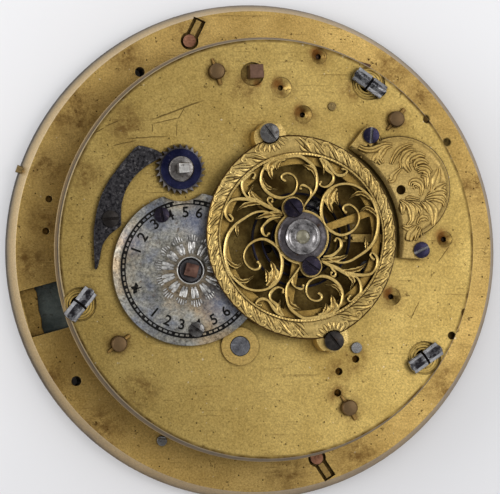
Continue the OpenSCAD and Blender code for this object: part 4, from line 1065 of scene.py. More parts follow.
keyed_outline = [(on_axis, 9.6), (0.5, 9.6), (0.5, 10.45), (tooth_r, 10.45), (tooth_r, 10.9), (1.0, 10.9),
                 (1.0, 11.64), (0.93, 11.7), (on_axis, 11.7)]
lathe(keyed, dial_at, keyed_outline, 150, toothed)
close_poles(keyed)
keyed_steel = metal("keyed_steel", (52, 50, 52), (92, 90, 92), rough=0.26, cloud_scale=900.0, spots=0.7)
finished("keyed_arbor", keyed, keyed_steel, "regulator", "steel", "regulator_arbor", sharp=25.0)
key_square = squared(dial_at, wide=1.12, turn=-14, low=square_foot, high=12.3)
square_rust = metal("square_rust", (74, 52, 46), (122, 92, 80), rough=0.42, cloud_scale=1200.0, spots=0.7,
                    spot_colour=(60, 36, 28))
finished("rusty_square", key_square, square_rust, "regulator", "steel")


# Slide cover
# A gilt brass cover cast and chased with leaf scrolls, screwed over the slide at two ears.
# Its edge towards the bridge is bevelled and polished.
cover_at = (11.75, 5.45)
cover_r = 4.65
cover_face = 11.4
cover_line = 0.36
bridge_gap = 9.1
cover_ears = [(9.17, 10.14), (13.75, -0.07)]
cover_corners = [(7.25, 9.1), (8.5, 10.7), (10, 10), (12, 8), (13.5, 3), (14.2, 0.9), (13.6, -0.87),
                 (11.5, -0.75), (9.5, 4)]


def in_corners(x, y, corners):
    crossings = 0
    for (ax, ay), (bx, by) in zip(corners, corners[1:] + corners[:1]):
        if (ay > y) != (by > y) and x < ax + (y - ay) * (bx - ax) / (by - ay):
            crossings += 1
    return crossings % 2 == 1


def on_cover(x, y):
    if away(x, y, verge_at) < bridge_gap:
        return False
    on_ear = min(away(x, y, ear) for ear in cover_ears) < 0.85
    return away(x, y, cover_at) < cover_r or on_ear or in_corners(x, y, cover_corners)


def cover_top(x, y):
    """The cover's face slopes towards the bridge and at its round edge, inside which a line is cut."""
    height = cover_face - max(0.0, 0.42 - (away(x, y, verge_at) - bridge_gap)) * 0.45
    inset = cover_r - away(x, y, cover_at)
    if -0.02 < inset < 0.6:
        height -= 0.09 * math.exp(-((inset - cover_line) / 0.07) ** 2) + max(0.0, 0.12 - inset) * 1.2
    return height


def cover_edge_shade(x, y):
    """Painted shadow along the cover's edge and beside the bridge, a darker tone in the line cut inside it,
    and a mid tone over the rest.
    """
    inset = cover_r - away(x, y, cover_at)
    if away(x, y, verge_at) < bridge_gap + 0.06 or -0.02 < inset < 0.08:
        return 0.0
    return 0.3 if abs(inset - cover_line) < 0.05 else 0.54


cover = bmesh.new()
cover_shares = [k / 30 for k in range(28)] + [0.93, 0.95, 0.965, 0.98, 0.99, 1]
slab(cover, cover_hole, hole=0.42, inside=on_cover, far=9.0, rays=720, shares=cover_shares, top=cover_top,
     under=top_face, relief_light=cover_edge_shade)
# The third number at each corner is painted light: a painted highlight along each leaf's ridges, painted
# shade in its middle groove and at its sides.
chased_section = [(-1, 0, 0.4), (-1, 0.25, 0.4), (-0.78, 0.66, 0.5), (-0.5, 0.98, 1), (-0.22, 0.9, 0.75),
                  (-0.06, 0.62, 0.4), (0.08, 0.66, 0.45), (0.34, 0.95, 0.95), (0.6, 0.86, 0.8),
                  (0.82, 0.5, 0.42), (1, 0.25, 0.4), (1, 0, 0.4)]
cover_leaves = [
    ((0.2, 0.25, 0.1), [(8.06, 9.1), (8.62, 8.88), (9.3, 8.89), (9.87, 9.12), (10.44, 9.34), (11.12, 9.35)]),
    ((0.16, 0.27, 0.11), [(10.1, 7.61), (9.87, 8.05), (10.21, 8.73), (10.55, 9.07), (11.06, 9.24)]),
    ((0.22, 0.29, 0.11), [(9.41, 7.77), (9.64, 8.16), (9.89, 8.26), (10.27, 7.67)]),
    ((0.13, 0.22, 0.1), [(11.0, 7.62), (11.23, 8.18), (11.69, 8.85), (12.37, 9.25), (12.94, 9.37)]),
    ((0.11, 0.29, 0.11), [(10.72, 6.05), (11.06, 6.17), (11.29, 6.67), (11.91, 7.23)]),
    ((0.11, 0.25, 0.11), [(11.91, 7.23), (11.91, 7.96), (12.25, 8.52), (12.71, 8.8), (13.22, 8.86)]),
    ((0.16, 0.34, 0.13), [(12.71, 6.94), (12.37, 7.4), (12.31, 7.85), (12.54, 8.3), (12.88, 8.5)]),
    ((0.13, 0.29, 0.11), [(12.71, 7.69), (12.73, 8.08), (13.16, 8.38), (13.62, 8.48), (14.13, 8.29)]),
    ((0.11, 0.27, 0.11), [(13.3, 7.21), (13.19, 7.61), (13.53, 7.88), (13.98, 7.89), (14.36, 7.64)]),
    ((0.1, 0.2, 0.1), [(13.16, 7.16), (13.79, 7.39), (14.36, 7.22), (14.7, 6.81)]),
    ((0.13, 0.27, 0.11), [(13.41, 6.91), (13.87, 7.08), (14.3, 6.86), (14.47, 6.36)]),
    ((0.11, 0.25, 0.1), [(13.73, 6.58), (14.13, 6.47), (14.24, 6.02), (14.18, 5.46)]),
    ((0.11, 0.27, 0.11), [(12.71, 5.68), (12.82, 5.99), (13.18, 6.07), (13.62, 5.85), (13.79, 5.38),
                          (13.64, 4.79)]),
    ((0.1, 0.16, 0.1), [(13.02, 5.4), (13.14, 5.71), (13.46, 5.54)]),
    ((0.11, 0.34, 0.1), [(14.64, 5.13), (14.93, 5.86), (15.21, 6.64), (15.33, 7.26)]),
    ((0.11, 0.31, 0.11), [(14.64, 5.07), (15.21, 5.58), (15.92, 5.92)]),
    ((0.1, 0.25, 0.1), [(14.3, 4.85), (14.98, 5.13), (15.66, 5.23), (16.03, 5.03)]),
    ((0.1, 0.27, 0.1), [(14.18, 4.6), (14.98, 4.83), (15.69, 4.8), (16.01, 4.36)]),
    ((0.1, 0.22, 0.1), [(14.07, 4.4), (14.98, 4.54), (15.66, 4.32), (15.89, 3.85)]),
    ((0.11, 0.38, 0.13), [(14.07, 4.29), (14.64, 3.82), (14.89, 3.01), (14.81, 2.11)]),
    ((0.1, 0.25, 0.1), [(13.73, 4.23), (14.18, 3.82), (14.43, 3.28)]),
    ((0.11, 0.31, 0.11), [(11.8, 4.38), (12.48, 3.94), (12.84, 3.27), (12.84, 2.6), (12.47, 2.13)]),
    ((0.1, 0.25, 0.1), [(12.7, 4.17), (13.16, 3.7), (13.29, 3.0)]),
    ((0.1, 0.22, 0.1), [(13.16, 4.04), (13.61, 3.59), (13.75, 3.0)]),
    ((0.11, 0.27, 0.1), [(11.85, 4.1), (12.02, 3.72), (12.04, 3.1)]),
    ((0.1, 0.25, 0.1), [(13.38, 2.25), (13.63, 2.7), (14.09, 2.81), (14.35, 2.56)]),
    ((0.27, 0.34, 0.11), [(12.61, 0.79), (12.72, 1.26), (13.06, 1.69), (13.33, 2.07)]),
    ((0.11, 0.2, 0.1), [(13.18, 0.8), (13.41, 1.44), (13.67, 1.94)]),
    ((0.11, 0.25, 0.1), [(12.02, 2.04), (12.5, 1.91), (12.99, 2.14)]),
    ((0.1, 0.18, 0.1), [(13.61, 4.4), (12.7, 4.56), (12.3, 4.5)]),
]


def taper(widths):
    """Width along a stroke, from its widths at the start, the middle and the end."""
    first, middle, last = widths

    def width(share, spot):
        if share < 0.5:
            return first + (middle - first) * 2 * share
        return middle + (last - middle) * (2 * share - 1)

    return width


for widths, points in cover_leaves:
    bar(cover, through(points, 6), taper([2.9 * wide for wide in widths]), 11.32,
        lambda share, spot: 11.58 - 0.06 * share, chased_section)
chased_gilt = gilt("cover_gilt", (196, 164, 94), (240, 208, 134), rough=0.32, pits=0.4, scratches=0.3,
                   carved=True)
finished("chased_cover", cover, chased_gilt, "frame", "gilt_brass", "slide_cover")


# Balance bridge
# The pierced gilt bridge over the balance: an engraved ring on two feet, filled with sawn
# and chased scrolls and leaves about the middle. Each half of the pattern is the other turned round.
bridge_turn = 107.5
bridge_under = 12.5
bridge_face = 13.0
ring_inner = 7.3
ring_outer = 9.3
ring_offset = 0.8
screw_sink = 0.93
screw_seat = 12.74
bridge_ends = [towards(bridge_turn), towards(bridge_turn + 180)]
bridge_screw_places = [Vector(verge_at) + end * 9.65 for end in bridge_ends]
bridge_side = Vector((-bridge_ends[0].y, bridge_ends[0].x))
ring_centres = [Vector(verge_at) + bridge_side * offset for offset in (-ring_offset, ring_offset)]


def ring_inset(x, y):
    """How far a place lies inside the ring's outline, which is made of two arcs."""
    return ring_outer - max(away(x, y, centre) for centre in ring_centres)


def on_ring(x, y):
    return ring_inset(x, y) > 0


def ring_reach(turn):
    """The ring's outer radius at a turn from its first screw."""
    return ring_outer - ring_offset * abs(math.sin(turn))


def ring_top(x, y):
    """The ring's rounded back, with a beaded line along its inner edge and sunk where the screws sit."""
    if min(away(x, y, place) for place in bridge_screw_places) < screw_sink:
        return screw_seat
    turn = (Vector((x, y)) - Vector(verge_at)).angle_signed(bridge_ends[0])
    share = (away(x, y, verge_at) - ring_inner) / (ring_reach(turn) - ring_inner)
    share = min(1.0, max(0.0, share))
    if share < 0.12:
        return 12.88 + 0.07 * abs(math.sin(80 * turn))
    return 12.97 - 0.3 * abs(2 * share - 1) ** 2.4


def ring_edge_shade(x, y):
    """Painted shadow along the ring's outer edge, and a mid tone over the rest of its back."""
    return 0.64 if ring_inset(x, y) > 0.1 else 0.0


bridge = bmesh.new()
ring_shares = [0, 0.02, 0.05, 0.08, 0.11] + [0.13 + 0.87 * k / 18 for k in range(19)]
slab(bridge, verge_at, hole=ring_inner, inside=on_ring, far=11.0, rays=1200, shares=ring_shares,
     top=ring_top, under=bridge_under, relief_light=ring_edge_shade)


def ring_point(turn, share):
    """A point on the ring, by degrees from its first screw and share of its width."""
    reach = ring_reach(math.radians(turn))
    return Vector(verge_at) + towards(bridge_turn + turn) * (ring_inner + (reach - ring_inner) * share)


# The third number at each corner of a leaf is painted light: a painted highlight along its crest, painted
# shade at its sides.
leaf_section = [(-1, 0, 0.15), (-1, 0.45, 0.15), (-0.7, 0.52, 0.2), (-0.45, 0.86, 0.7), (-0.05, 1, 1),
                (0.35, 0.9, 0.85), (0.65, 0.55, 0.22), (1, 0.45, 0.15), (1, 0, 0.15)]
line_section = [(-1, 0, 0), (-1, 1, 0), (1, 1, 0), (1, 0, 0)]


def engrave(line, widths, rise, section=leaf_section):
    """One engraved leaf or dark line on the ring, following its rounded back."""
    bar(bridge, line, taper(widths), lambda share, spot: ring_top(*spot) - 0.06,
        lambda share, spot: ring_top(*spot) + rise, section)


def ring_cut(start, spots, widths, rise, section=leaf_section):
    """One stroke of the pattern, through spots given by degrees from its start and share of the width."""
    line = through([ring_point(start + turn, share) for turn, share in spots], 5)
    engrave(line, widths, rise, section)


for half in (0, 180):
    for k in range(16):
        start = half + 7 + 9.9 * k
        long = 1.0 + 0.2 * math.sin(2.4 * k)
        ring_cut(start, [(0, 0.2), (2.6 * long, 0.34), (6.0 * long, 0.6), (10.5 * long, 0.88)],
                 (0.24, 0.66, 0.24), 0.07)
        for beside, rise in ((0.2, 0.072), (2.9, 0.02)):
            ring_cut(start + beside, [(1.4, 0.26), (3.0, 0.38), (8.2, 0.8)], (0.03, 0.08, 0.03), rise,
                     line_section)
        ring_cut(start, [(3.6, 0.2), (6.4, 0.3), (8.6, 0.5)], (0.2, 0.44, 0.2), 0.055)
        ring_cut(start, [(0.4, 0.9), (3.6, 0.82), (3.6, 0.62), (1.6, 0.6), (1.4, 0.74)],
                 (0.24, 0.32, 0.22), 0.06)
for place, end in zip(bridge_screw_places, bridge_ends):
    for k in range(-5, 6):
        out = Matrix.Rotation(math.radians(17 * k), 2) @ -end
        line = [place + out * (1.08 + 0.13 * j) for j in range(6)]
        if all(on_ring(*spot) and away(*spot, verge_at) > ring_inner + 0.2 for spot in line):
            engrave(line, (0.22, 0.42, 0.2), 0.09)

lobes = [Vector(verge_at) + end * 2.7 for end in bridge_ends]


def on_hub(x, y):
    """The solid middle, with an ear for each screw of the end plate."""
    return away(x, y, verge_at) < 2.42 or min(away(x, y, lobe) for lobe in lobes) < 1.0


slab(bridge, verge_at, hole=0.2, inside=on_hub, far=5.0, rays=180, shares=[0, 0.2, 0.9, 0.96, 1],
     top=12.98, under=bridge_under)
foot_shares = [0, 0.3, 0.85, 0.95, 1]
for end, head_at in zip(bridge_ends, bridge_screw_places):
    post_at = Vector(verge_at) + end * 9.3

    def in_foot(x, y):
        if away(x, y, head_at) < 0.98:
            return True
        return 8.6 < away(x, y, verge_at) < 10.3 and away(x, y, post_at) < 1.45

    def foot_top(x, y):
        return screw_seat if away(x, y, head_at) < screw_sink else 12.7

    slab(bridge, Vector(verge_at) + end * 9.5, hole=0.4, inside=in_foot, far=3.0, rays=96,
         shares=foot_shares, top=foot_top, under=top_face)

# The third number at each corner is painted light: a painted highlight along each scroll's crest and each
# leaf's ridges, painted shade at their sides and in the leaf's vein.
scroll_section = [(-1, 0, 0.1), (-1, 0.6, 0.2), (-0.72, 0.88, 0.6), (0, 1, 1), (0.72, 0.88, 0.6),
                  (1, 0.6, 0.2), (1, 0, 0.1)]
vein_section = [(-1, 0, 0.2), (-1, 0.62, 0.3), (-0.75, 0.9, 0.7), (-0.45, 0.97, 1), (-0.14, 0.85, 0.35),
                (0, 1, 0.95), (0.14, 0.85, 0.35), (0.45, 0.97, 1), (0.75, 0.9, 0.7), (1, 0.62, 0.3),
                (1, 0, 0.2)]
bridge_scrolls = [
    ((0.26, 0.32, 0.2), [(0.1, 2.6), (0.72, 3.46), (1.26, 4.22), (1.38, 5.11), (1.11, 6.17), (0.5, 6.78),
                         (-0.27, 7.19), (-1.37, 7.07), (-2.13, 6.88), (-2.94, 6.55), (-3.47, 5.95),
                         (-3.66, 5.19), (-3.51, 4.52), (-3.01, 3.91), (-2.33, 3.54), (-1.64, 3.46),
                         (-0.95, 3.69), (-0.5, 4.22), (-0.42, 4.9), (-0.72, 5.43), (-1.26, 5.65),
                         (-1.72, 5.5), (-1.79, 5.19), (-1.52, 4.99)]),
    ((0.2, 0.26, 0.14), [(0.8, 3.62), (0.84, 4.07), (0.57, 4.4), (0.11, 4.6), (-0.16, 4.48),
                         (-0.11, 4.29)]),
    ((0.26, 0.32, 0.2), [(2.38, -1.94), (3.39, -2.25), (4.31, -2.11), (5.23, -1.58), (5.98, -1.02),
                         (6.62, -0.1), (6.9, 1.23), (6.75, 2.33), (6.45, 3.17), (5.91, 3.84), (5.14, 4.45),
                         (4.23, 4.74), (3.32, 4.67), (2.56, 4.29), (2.02, 3.62), (1.78, 2.71), (1.78, 1.92),
                         (2.0, 1.18), (2.47, 0.66), (3.32, 0.22), (4.08, 0.3), (4.77, 0.76), (5.14, 1.43),
                         (5.14, 2.03), (4.84, 2.57), (4.31, 2.9), (3.85, 2.79), (3.74, 2.48),
                         (3.95, 2.23)]),
    ((0.42, 0.28, 0.18), [(-1.75, 2.1), (-2.59, 2.5), (-3.24, 2.79), (-4.16, 3.31), (-4.92, 3.54),
                          (-5.28, 4.14), (-5.31, 4.87), (-4.85, 5.32), (-4.41, 5.69), (-4.16, 5.5),
                          (-4.35, 5.19)]),
    ((0.32, 0.28, 0.22), [(-3.52, 2.91), (-4.46, 3.24), (-5.38, 3.35), (-6.21, 3.24), (-6.63, 2.81),
                          (-6.83, 2.28), (-6.75, 1.74), (-6.37, 1.36), (-6.18, 1.58), (-6.45, 1.94)]),
    ((0.2, 0.24, 0.16), [(-2.48, 2.45), (-2.78, 2.86), (-3.05, 3.17), (-2.94, 3.46), (-2.63, 3.39),
                         (-2.67, 3.13)]),
    ((0.25, 0.32, 0.18), [(-1.92, 1.73), (-2.71, 1.61), (-3.24, 1.21), (-3.55, 0.76), (-3.47, 0.3),
                          (-3.17, 0.07), (-2.97, 0.3)]),
    ((0.36, 0.3, 0.16), [(1.72, 6.99), (2.17, 6.7), (2.56, 6.25), (2.94, 5.72), (3.32, 5.5), (3.78, 5.54),
                         (4.08, 5.84), (3.96, 6.01), (3.69, 6.06)]),
    ((0.36, 0.3, 0.18), [(1.65, 7.01), (2.02, 6.4), (2.33, 5.95), (2.78, 5.57), (2.86, 5.12), (2.56, 4.67),
                         (2.1, 4.45), (1.66, 4.6), (1.7, 4.89)]),
]
bridge_leaves = [
    ((0.5, 1.0, 0.1), [(-1.53, 7.04), (-2.4, 6.75), (-2.86, 6.25), (-2.82, 5.72), (-2.67, 5.11)]),
    ((0.34, 0.5, 0.08), [(-1.97, 6.75), (-2.23, 6.29), (-2.17, 5.88)]),
    ((0.2, 0.34, 0.08), [(-3.54, 5.16), (-3.24, 4.56), (-2.71, 4.25), (-2.17, 4.22)]),
    ((0.18, 0.5, 0.08), [(1.24, 5.31), (1.03, 5.93), (0.52, 6.25), (0.1, 6.39)]),
    ((0.45, 0.95, 0.1), [(3.05, 4.39), (2.56, 3.68), (2.48, 2.93), (2.77, 2.15)]),
    ((0.3, 0.5, 0.08), [(3.1, 3.99), (3.05, 3.37), (3.31, 2.86)]),
    ((0.3, 0.42, 0.08), [(6.16, 3.47), (5.45, 3.93), (4.84, 3.84), (4.3, 3.47)]),
    ((0.3, 0.42, 0.1), [(6.83, 1.94), (6.22, 2.48), (5.75, 2.62), (5.28, 2.3)]),
    ((0.34, 0.46, 0.06), [(-3.73, 3.01), (-4.66, 2.93), (-5.3, 2.71), (-5.8, 2.3)]),
    ((0.45, 0.42, 0.06), [(-4.04, 3.17), (-4.55, 3.68), (-4.61, 3.99), (-4.33, 4.6)]),
    ((0.3, 0.62, 0.1), [(-1.75, 2.05), (-2.69, 2.02), (-3.39, 1.88), (-4.14, 1.59)]),
    ((0.16, 0.36, 0.08), [(5.8, -1.18), (5.82, -0.61), (5.71, 0.1)]),
    ((0.3, 0.4, 0.08), [(1.77, 6.98), (2.07, 6.44), (1.95, 5.57)]),
]


def lobed(widths):
    """The width along a leaf with scalloped sides, from its plain widths."""
    plain = taper(widths)
    return lambda share, spot: plain(share, spot) * (0.9 + 0.42 * abs(math.cos(3.5 * math.pi * share)))


def swelling(widths):
    """The width along a scroll that swells and thins as it winds, from its plain widths."""
    plain = taper(widths)
    return lambda share, spot: plain(share, spot) * (0.84 + 0.44 * math.sin(2.5 * math.pi * share) ** 2)


scroll_bead = [(0.001, 12.52), (0.12, 12.56), (0.17, 12.72), (0.16, 12.9), (0.1, 13.0), (0.001, 13.03)]
for section, strokes in ((scroll_section, bridge_scrolls), (vein_section, bridge_leaves)):
    for half in (1, -1):
        for widths, points in strokes:
            placed = [(verge_at[0] + half * x, verge_at[1] + half * y) for x, y in points]
            wide = swelling(widths) if section is scroll_section else lobed(widths)
            bar(bridge, through(placed, 7), wide, bridge_under, bridge_face, section)
            if section is scroll_section:
                lathe(bridge, placed[-1], scroll_bead, 16)
bridge_gilt = gilt("bridge_gilt", (180, 148, 80), (232, 202, 130), rough=0.24, pits=0.3, scratches=0.2,
                   carved=True, edge=0.00003)
finished("engraved_bridge", bridge, bridge_gilt, "frame", "gilt_brass", "balance_bridge")


# End plate
# A polished steel plate on the bridge with a domed pale stone let into it, on which the
# upper end of the verge runs. Two screws at its rim hold it.
def on_end_plate(x, y):
    return away(x, y, verge_at) < 2.2 and min(away(x, y, lobe) for lobe in lobes) > 0.88


flange = bmesh.new()
slab(flange, verge_at, hole=1.56, inside=on_end_plate, far=3.0, rays=180,
     shares=[0, 0.08, 0.12, 0.7, 0.85, 1], under=bridge_face,
     top=lambda x, y: 13.42 - max(0.0, away(x, y, verge_at) - 2.05) * 0.9)
flange_steel = metal("flange_steel", (50, 46, 48), (106, 101, 103), rough=0.24, cloud_scale=700.0, spots=0.8)
finished("end_plate_flange", flange, flange_steel, "frame", "steel", "end_plate")

boss = bmesh.new()
boss_outline = [(0.62, 13.0), (1.57, 13.0), (1.57, 13.58), (1.5, 13.66), (1.3, 13.74), (1.22, 13.74),
                (1.0, 13.62), (0.72, 13.52), (0.62, 13.5)]
lathe(boss, verge_at, boss_outline, 72)
boss_steel = metal("boss_steel", (32, 29, 30), (186, 182, 182), rough=0.16, cloud_scale=800.0, spots=0.7,
                   spot_colour=(52, 44, 42))
finished("end_plate_boss", boss, boss_steel, "frame", "steel")

stone = bmesh.new()
stone_outline = [(on_axis, 13.3), (0.62, 13.3), (0.62, 13.5), (0.5, 13.62), (0.28, 13.68), (on_axis, 13.69)]
lathe(stone, verge_at, stone_outline, 14)
close_poles(stone)
stone_look, stone_tree, stone_surface, stone_where = new_finish("pale_stone")
stone_tone = ramp(stone_tree, grain(stone_tree, stone_where, 1800.0), (0.35, photo_colour(112, 106, 84)),
                  (0.65, photo_colour(170, 164, 140)))
connect(stone_tree, stone_surface, Roughness=0.12, IOR=1.7, Transmission_Weight=0.25, Base_Color=stone_tone)
finished("domed_stone", stone, stone_look, "frame", "stone", "end_stone", sharp=12.0)


# Screws
# Steel screws with flat domed heads and a sawn slot, tempered blue or purple or left grey.
# Every screw but the three key screws is this one, in several sizes.
def cut(tree, operation, body, tool):
    made = node(tree, "GeometryNodeMeshBoolean", operation=operation)
    tree.links.new(body, made.inputs["Mesh 1" if operation == "DIFFERENCE" else "Mesh 2"])
    tree.links.new(tool, made.inputs["Mesh 2"])
    return made.outputs["Mesh"]


def slotted_screw():
    """A tree that sets a domed screw with a sawn slot at each point, at the point's own turn."""
    sizes = ("Head_radius", "Head_height", "Shank_radius", "Shank_length", "Slot_width", "Slot_depth")
    tree, given, result, keys = new_tree("slotted_screw", **dict.fromkeys(sizes, "NodeSocketFloat"),
                                         Finish="NodeSocketMaterial")
    head_r, head_h, shank_r, shank_l, slot_w, slot_d = (given.outputs[key] for key in sizes)
    blank = solid(tree, "Cylinder", Vertices=40, Radius=head_r, Depth=head_h)
    ball = solid(tree, "UVSphere", Segments=48, Rings=32, Radius=1.0)
    dome_r = times(tree, head_r, 1.6)
    dome = moved(tree, ball, combine(tree, 0.0, 0.0, times(tree, head_h, 0.05)),
                 combine(tree, dome_r, dome_r, times(tree, head_h, 0.95)))
    head = cut(tree, "INTERSECT", raised(tree, blank, times(tree, head_h, 0.5)), dome)
    shank = solid(tree, "Cylinder", Vertices=20, Radius=shank_r, Depth=shank_l)
    shank_z = maths(tree, "SUBTRACT", times(tree, head_h, 0.4), times(tree, shank_l, 0.5))
    body = cut(tree, "UNION", head, raised(tree, shank, shank_z))
    blade_size = combine(tree, times(tree, head_r, 3.0), slot_w, times(tree, slot_d, 2.0))
    blade = solid(tree, "Cube", Size=blade_size)
    whole = cut(tree, "DIFFERENCE", body, raised(tree, blade, head_h))
    turns = node(tree, "GeometryNodeInputNamedAttribute", {"Name": "turn"}, data_type="FLOAT")
    values = {"Points": given.outputs["Geometry"], "Instance": whole,
              "Rotation": combine(tree, 0.0, 0.0, turns.outputs["Attribute"])}
    set_in = node(tree, "GeometryNodeInstanceOnPoints", values)
    end_tree(tree, set_in.outputs["Instances"], given, result)
    return tree, keys


screw_tree, screw_keys = slotted_screw()
screw_blue = metal("screw_blue", (28, 27, 42), (58, 54, 76), rough=0.22, spots=0.6, spot_colour=(92, 84, 84))
screw_grey = metal("screw_grey", (46, 43, 42), (126, 124, 122), rough=0.2, cloud_scale=900.0, spots=0.6)
screw_dark = metal("screw_dark", (34, 31, 30), (70, 66, 63), rough=0.3, spots=0.6)
# A lighter grey steel that paints a sheen into the slots of the blue screws.
slot_sheen_steel = metal("slot_sheen_steel", (98, 96, 100), (160, 158, 160), rough=0.3, spots=0.5)
screw_purple = metal("screw_purple", (26, 24, 34), (54, 49, 60), rough=0.24, spots=0.6,
                     spot_colour=(90, 78, 72))
finishes = [screw_blue, screw_grey, screw_dark, screw_purple, slot_sheen_steel]
slot_wide = 0.24
slot_deep = 0.2


def screws(name, node_name, head, height, shank, places):
    """Screws of one size. Each place is x, y, the height of the seat, the turn of the slot and the finish."""
    shape = bmesh.new()
    for x, y, seat, turn, finish in places:
        dot = bpy.data.meshes.new("seat")
        dot.from_pydata([(0, 0, 0)], [], [])
        dot.attributes.new("turn", "FLOAT", "POINT").data[0].value = math.radians(turn)
        made = grown("screw", dot, screw_tree, screw_keys, Head_radius=head, Head_height=height,
                     Shank_radius=0.4, Shank_length=shank + 0.4 * height, Slot_width=slot_wide,
                     Slot_depth=slot_deep, Finish=finish)
        before = len(shape.faces)
        add_mesh(shape, made, Matrix.Translation((x, y, seat)))
        shape.faces.ensure_lookup_table()
        across = towards(turn + 90).to_3d()
        for face in shape.faces[before:]:
            spot = face.calc_center_median() - Vector((x, y, seat + height))
            in_slot = abs(spot.dot(across)) < slot_wide / 2 + 0.01 and spot.z > -slot_deep - 0.01
            # Slot faces of the blue screws take the lighter grey: a painted sheen in the slot.
            shown = slot_sheen_steel if in_slot and finish == screw_blue else finish
            face.material_index = finishes.index(shown)
    piece = finished(name, shape, finishes[0], "frame", "blued_steel", node_name, sharp=30.0)
    for finish in finishes[1:]:
        piece.data.materials.append(finish)


bridge_finishes = zip(bridge_screw_places, (screw_grey, screw_dark))
screws("bridge_screw_pair", "bridge_screws", head=0.86, height=0.45, shank=3.25,
       places=[(*place, 12.75, 128, finish) for place, finish in bridge_finishes])
screws("end_plate_screw_pair", "end_plate_screws", head=0.85, height=0.5, shank=0.45,
       places=[(*lobe, bridge_face, turn, screw_purple) for lobe, turn in zip(lobes, (130, 145))])
screws("dial_screw_pair", "regulator_dial_screws", head=0.67, height=0.3, shank=2.0,
       places=[(-9.69, 2.92, disc_face, 100, screw_purple), (-6.57, -7.21, disc_face, 145, screw_grey)])
screws("cover_screw_pair", "slide_cover_screws", head=0.72, height=0.3, shank=1.9,
       places=[(*ear, cover_face, turn, screw_blue) for ear, turn in zip(cover_ears, (85, 25))])
screws("click_pivot_screw", "click_screw", head=0.73, height=0.3, shank=1.5,
       places=[(-14.19, 2.56, 11.02, 5, screw_dark)])
train_turn = math.atan2(contrate_at[1] - verge_at[1], contrate_at[0] - verge_at[0])
potence_turn = Matrix.Rotation(train_turn, 2)
for name, node_name, spot, shank in (("potence_fixing", "potence_screw", (-0.1, 3.2), 2.4),
                                     ("counter_fixing", "counter_potence_screw", (6.85, 1.05), 1.5)):
    place = Vector(verge_at) + potence_turn @ Vector(spot)
    screws(name, node_name, head=0.74, height=0.4, shank=shank, places=[(*place, 9.95, 30, screw_grey)])


# Key screws
# Three polished steel bars with a sawn slot, turned a quarter round by a driver to let the
# movement out of its case or hold it there. Each stands in a turned sink in the top plate.
bright_bar = metal("bar_steel", (96, 96, 98), (186, 186, 189), rough=0.1, cloud_scale=360.0, spots=0.6,
                   edge=0.00003)


def crown_dark_reflection(tree, where):
    """The flat along the top of a bar, painted dark in patches: a painted dark reflection in its polish."""
    crown = by_height(11.26, 11.29)(tree, where)
    return times(tree, crown, ramp(tree, grain(tree, where, 1500.0), (0.44, 1.0), (0.6, 0.25)))


# Painted reflection: the polished flat of each bar painted dark in patches.
tint_where(bright_bar, crown_dark_reflection, (46, 45, 48))
# Painted shade: the bars' low sides and the slot floor painted near black, down in the sink.
tint_where(bright_bar, by_height(10.98, 10.96), (26, 23, 22))
bar_foot = 10.5
bar_crest = 11.3
bar_reach = 1.68
slot_floor = 10.95
bevelled_section = [(-1, 0), (-1, 0.64), (-0.56, 0.97), (-0.5, 1), (0.5, 1), (0.56, 0.97), (1, 0.64), (1, 0)]
bar_parts = [(-1.66, -0.11, bar_crest, 0.65, bevelled_section),
             (0.11, 1.66, bar_crest, 0.65, bevelled_section),
             (-1.5, 1.5, slot_floor, 0.57, flat_section)]
key_stem = [(0.001, 8.42), (1.06, 8.42), (1.1, 8.46), (1.1, 8.86), (1.06, 8.9), (0.64, 8.9), (0.64, 10.52),
            (0.001, 10.52)]
for k, (x, y, turn) in enumerate(key_places, start=1):
    key = bmesh.new()
    lathe(key, (0, 0), key_stem, 32)
    for near, far, crest, half, section in bar_parts:
        line = [Vector((near + (far - near) * j / 12, 0)) for j in range(13)]
        bar(key, line, lambda share, spot: 2 * min(half, math.sqrt(max(0.09, bar_reach ** 2 - spot.x ** 2))),
            bar_foot, crest, section)
    set_key = Matrix.Translation((x, y, 0)) @ Matrix.Rotation(math.radians(turn), 4, "Z")
    bmesh.ops.transform(key, matrix=set_key, verts=key.verts)
    finished(f"key_bar_{k}", key, bright_bar, f"key_{k}", "steel", f"key_screw_{k}", sharp=40.0)


# Camera
# The photograph looks down on the movement, leaning a little to the left.
lean = math.radians(9.268)
heading = math.radians(190.862)
back = Vector((math.sin(lean) * math.cos(heading), math.sin(lean) * math.sin(heading), math.cos(lean)))
up = (Vector((0, 1, 0)) - back * back.y).normalized()
side = up.cross(back)
lens = bpy.data.cameras.new("camera")
lens.sensor_width = 36.0
lens.lens = 315.2
lens.shift_x = 0.0016
lens.shift_y = 0.01064
lens.clip_start = 0.01
lens.clip_end = 20.0
camera = bpy.data.objects.new("camera", lens)
camera.matrix_world = Matrix.Translation(back * 0.4) @ Matrix((side, up, back)).transposed().to_4x4()
scene.collection.objects.link(camera)
scene.camera = camera


# Studio
# A pale floor under the movement, a soft sky that is lighter towards the horizon, and two
# broad lamps, one low at the left and one high at the right.
def lamp(name, place, size, power):
    light = bpy.data.lights.new(name, "AREA")
    light.shape = "SQUARE"
    light.size = size
    light.energy = power
    holder = bpy.data.objects.new(name, light)
    aim = Vector(place).to_track_quat("Z", "Y").to_matrix().to_4x4()
    holder.matrix_world = Matrix.Translation(place) @ aim
    scene.collection.objects.link(holder)


lamp("left_lamp", (-0.34, 0.06, 0.3), size=0.26, power=0.55)
lamp("right_lamp", (0.22, 0.05, 0.42), size=0.2, power=0.3)

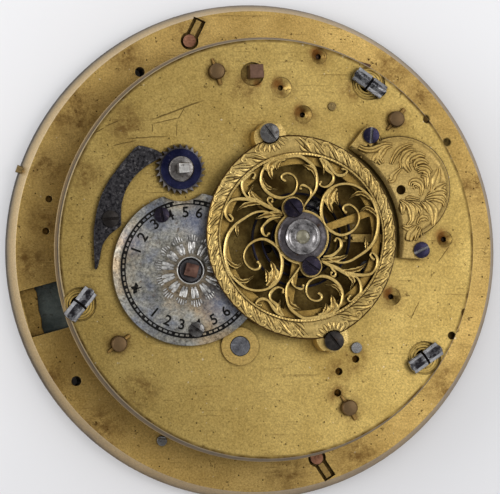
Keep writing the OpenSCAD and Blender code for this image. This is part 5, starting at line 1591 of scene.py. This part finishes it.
sky = bpy.data.worlds.new("sky")
scene.world = sky
sky.use_nodes = True
sky_tree = sky.node_tree
ray = node(sky_tree, "ShaderNodeLightPath")
facing = node(sky_tree, "ShaderNodeTexCoord").outputs["Generated"]
tone = ramp(sky_tree, part_of(sky_tree, facing, "Z"), (0.0, 0.95), (0.6, 0.9), (0.86, 0.66), (1.0, 0.5))
tone = mixed(sky_tree, "MIX", ray.outputs["Is Camera Ray"], tone, (0.93, 0.93, 0.93, 1.0))
sky_tree.links.new(tone, sky_tree.nodes["Background"].inputs["Color"])

floor_mesh = bpy.data.meshes.new("floor")
floor_corners = [(x, y, -0.0002) for x, y in ((-3, -3), (3, -3), (3, 3), (-3, 3))]
floor_mesh.from_pydata(floor_corners, [], [(0, 1, 2, 3)])
floor = bpy.data.objects.new("floor", floor_mesh)
scene.collection.objects.link(floor)
paper = bpy.data.materials.new("paper")
paper.use_nodes = True
paper_tree = paper.node_tree
paper_tree.nodes.clear()
seen = node(paper_tree, "ShaderNodeLightPath")
direct = maths(paper_tree, "ADD", seen.outputs["Is Camera Ray"], seen.outputs["Is Glossy Ray"])
direct = maths(paper_tree, "ADD", direct, seen.outputs["Is Transmission Ray"])
direct = maths(paper_tree, "MINIMUM", direct, 1.0)
paper_where = node(paper_tree, "ShaderNodeTexCoord").outputs["Object"]
# The paper is darker towards the bottom: a painted fall-off of light across the floor.
paper_tone = ramp(paper_tree, between(paper_tree, part_of(paper_tree, paper_where, "Y"), -0.024, 0.024),
                  (0.0, (0.79, 0.79, 0.81, 1.0)), (0.45, (0.9, 0.9, 0.92, 1.0)))
clear = between(paper_tree, from_place(paper_tree, paper_where, 0.0, 0.0), 0.0215, 0.0245, 0.0, 0.2)
matt = node(paper_tree, "ShaderNodeBsdfDiffuse", {"Color": paper_tone})
glow = node(paper_tree, "ShaderNodeEmission", {"Color": paper_tone})
blend = node(paper_tree, "ShaderNodeMixShader", {"Fac": maths(paper_tree, "MULTIPLY", direct, clear)})
paper_tree.links.new(matt.outputs["BSDF"], blend.inputs[1])
paper_tree.links.new(glow.outputs["Emission"], blend.inputs[2])
node(paper_tree, "ShaderNodeOutputMaterial", {"Surface": blend.outputs["Shader"]})
floor_mesh.materials.append(paper)
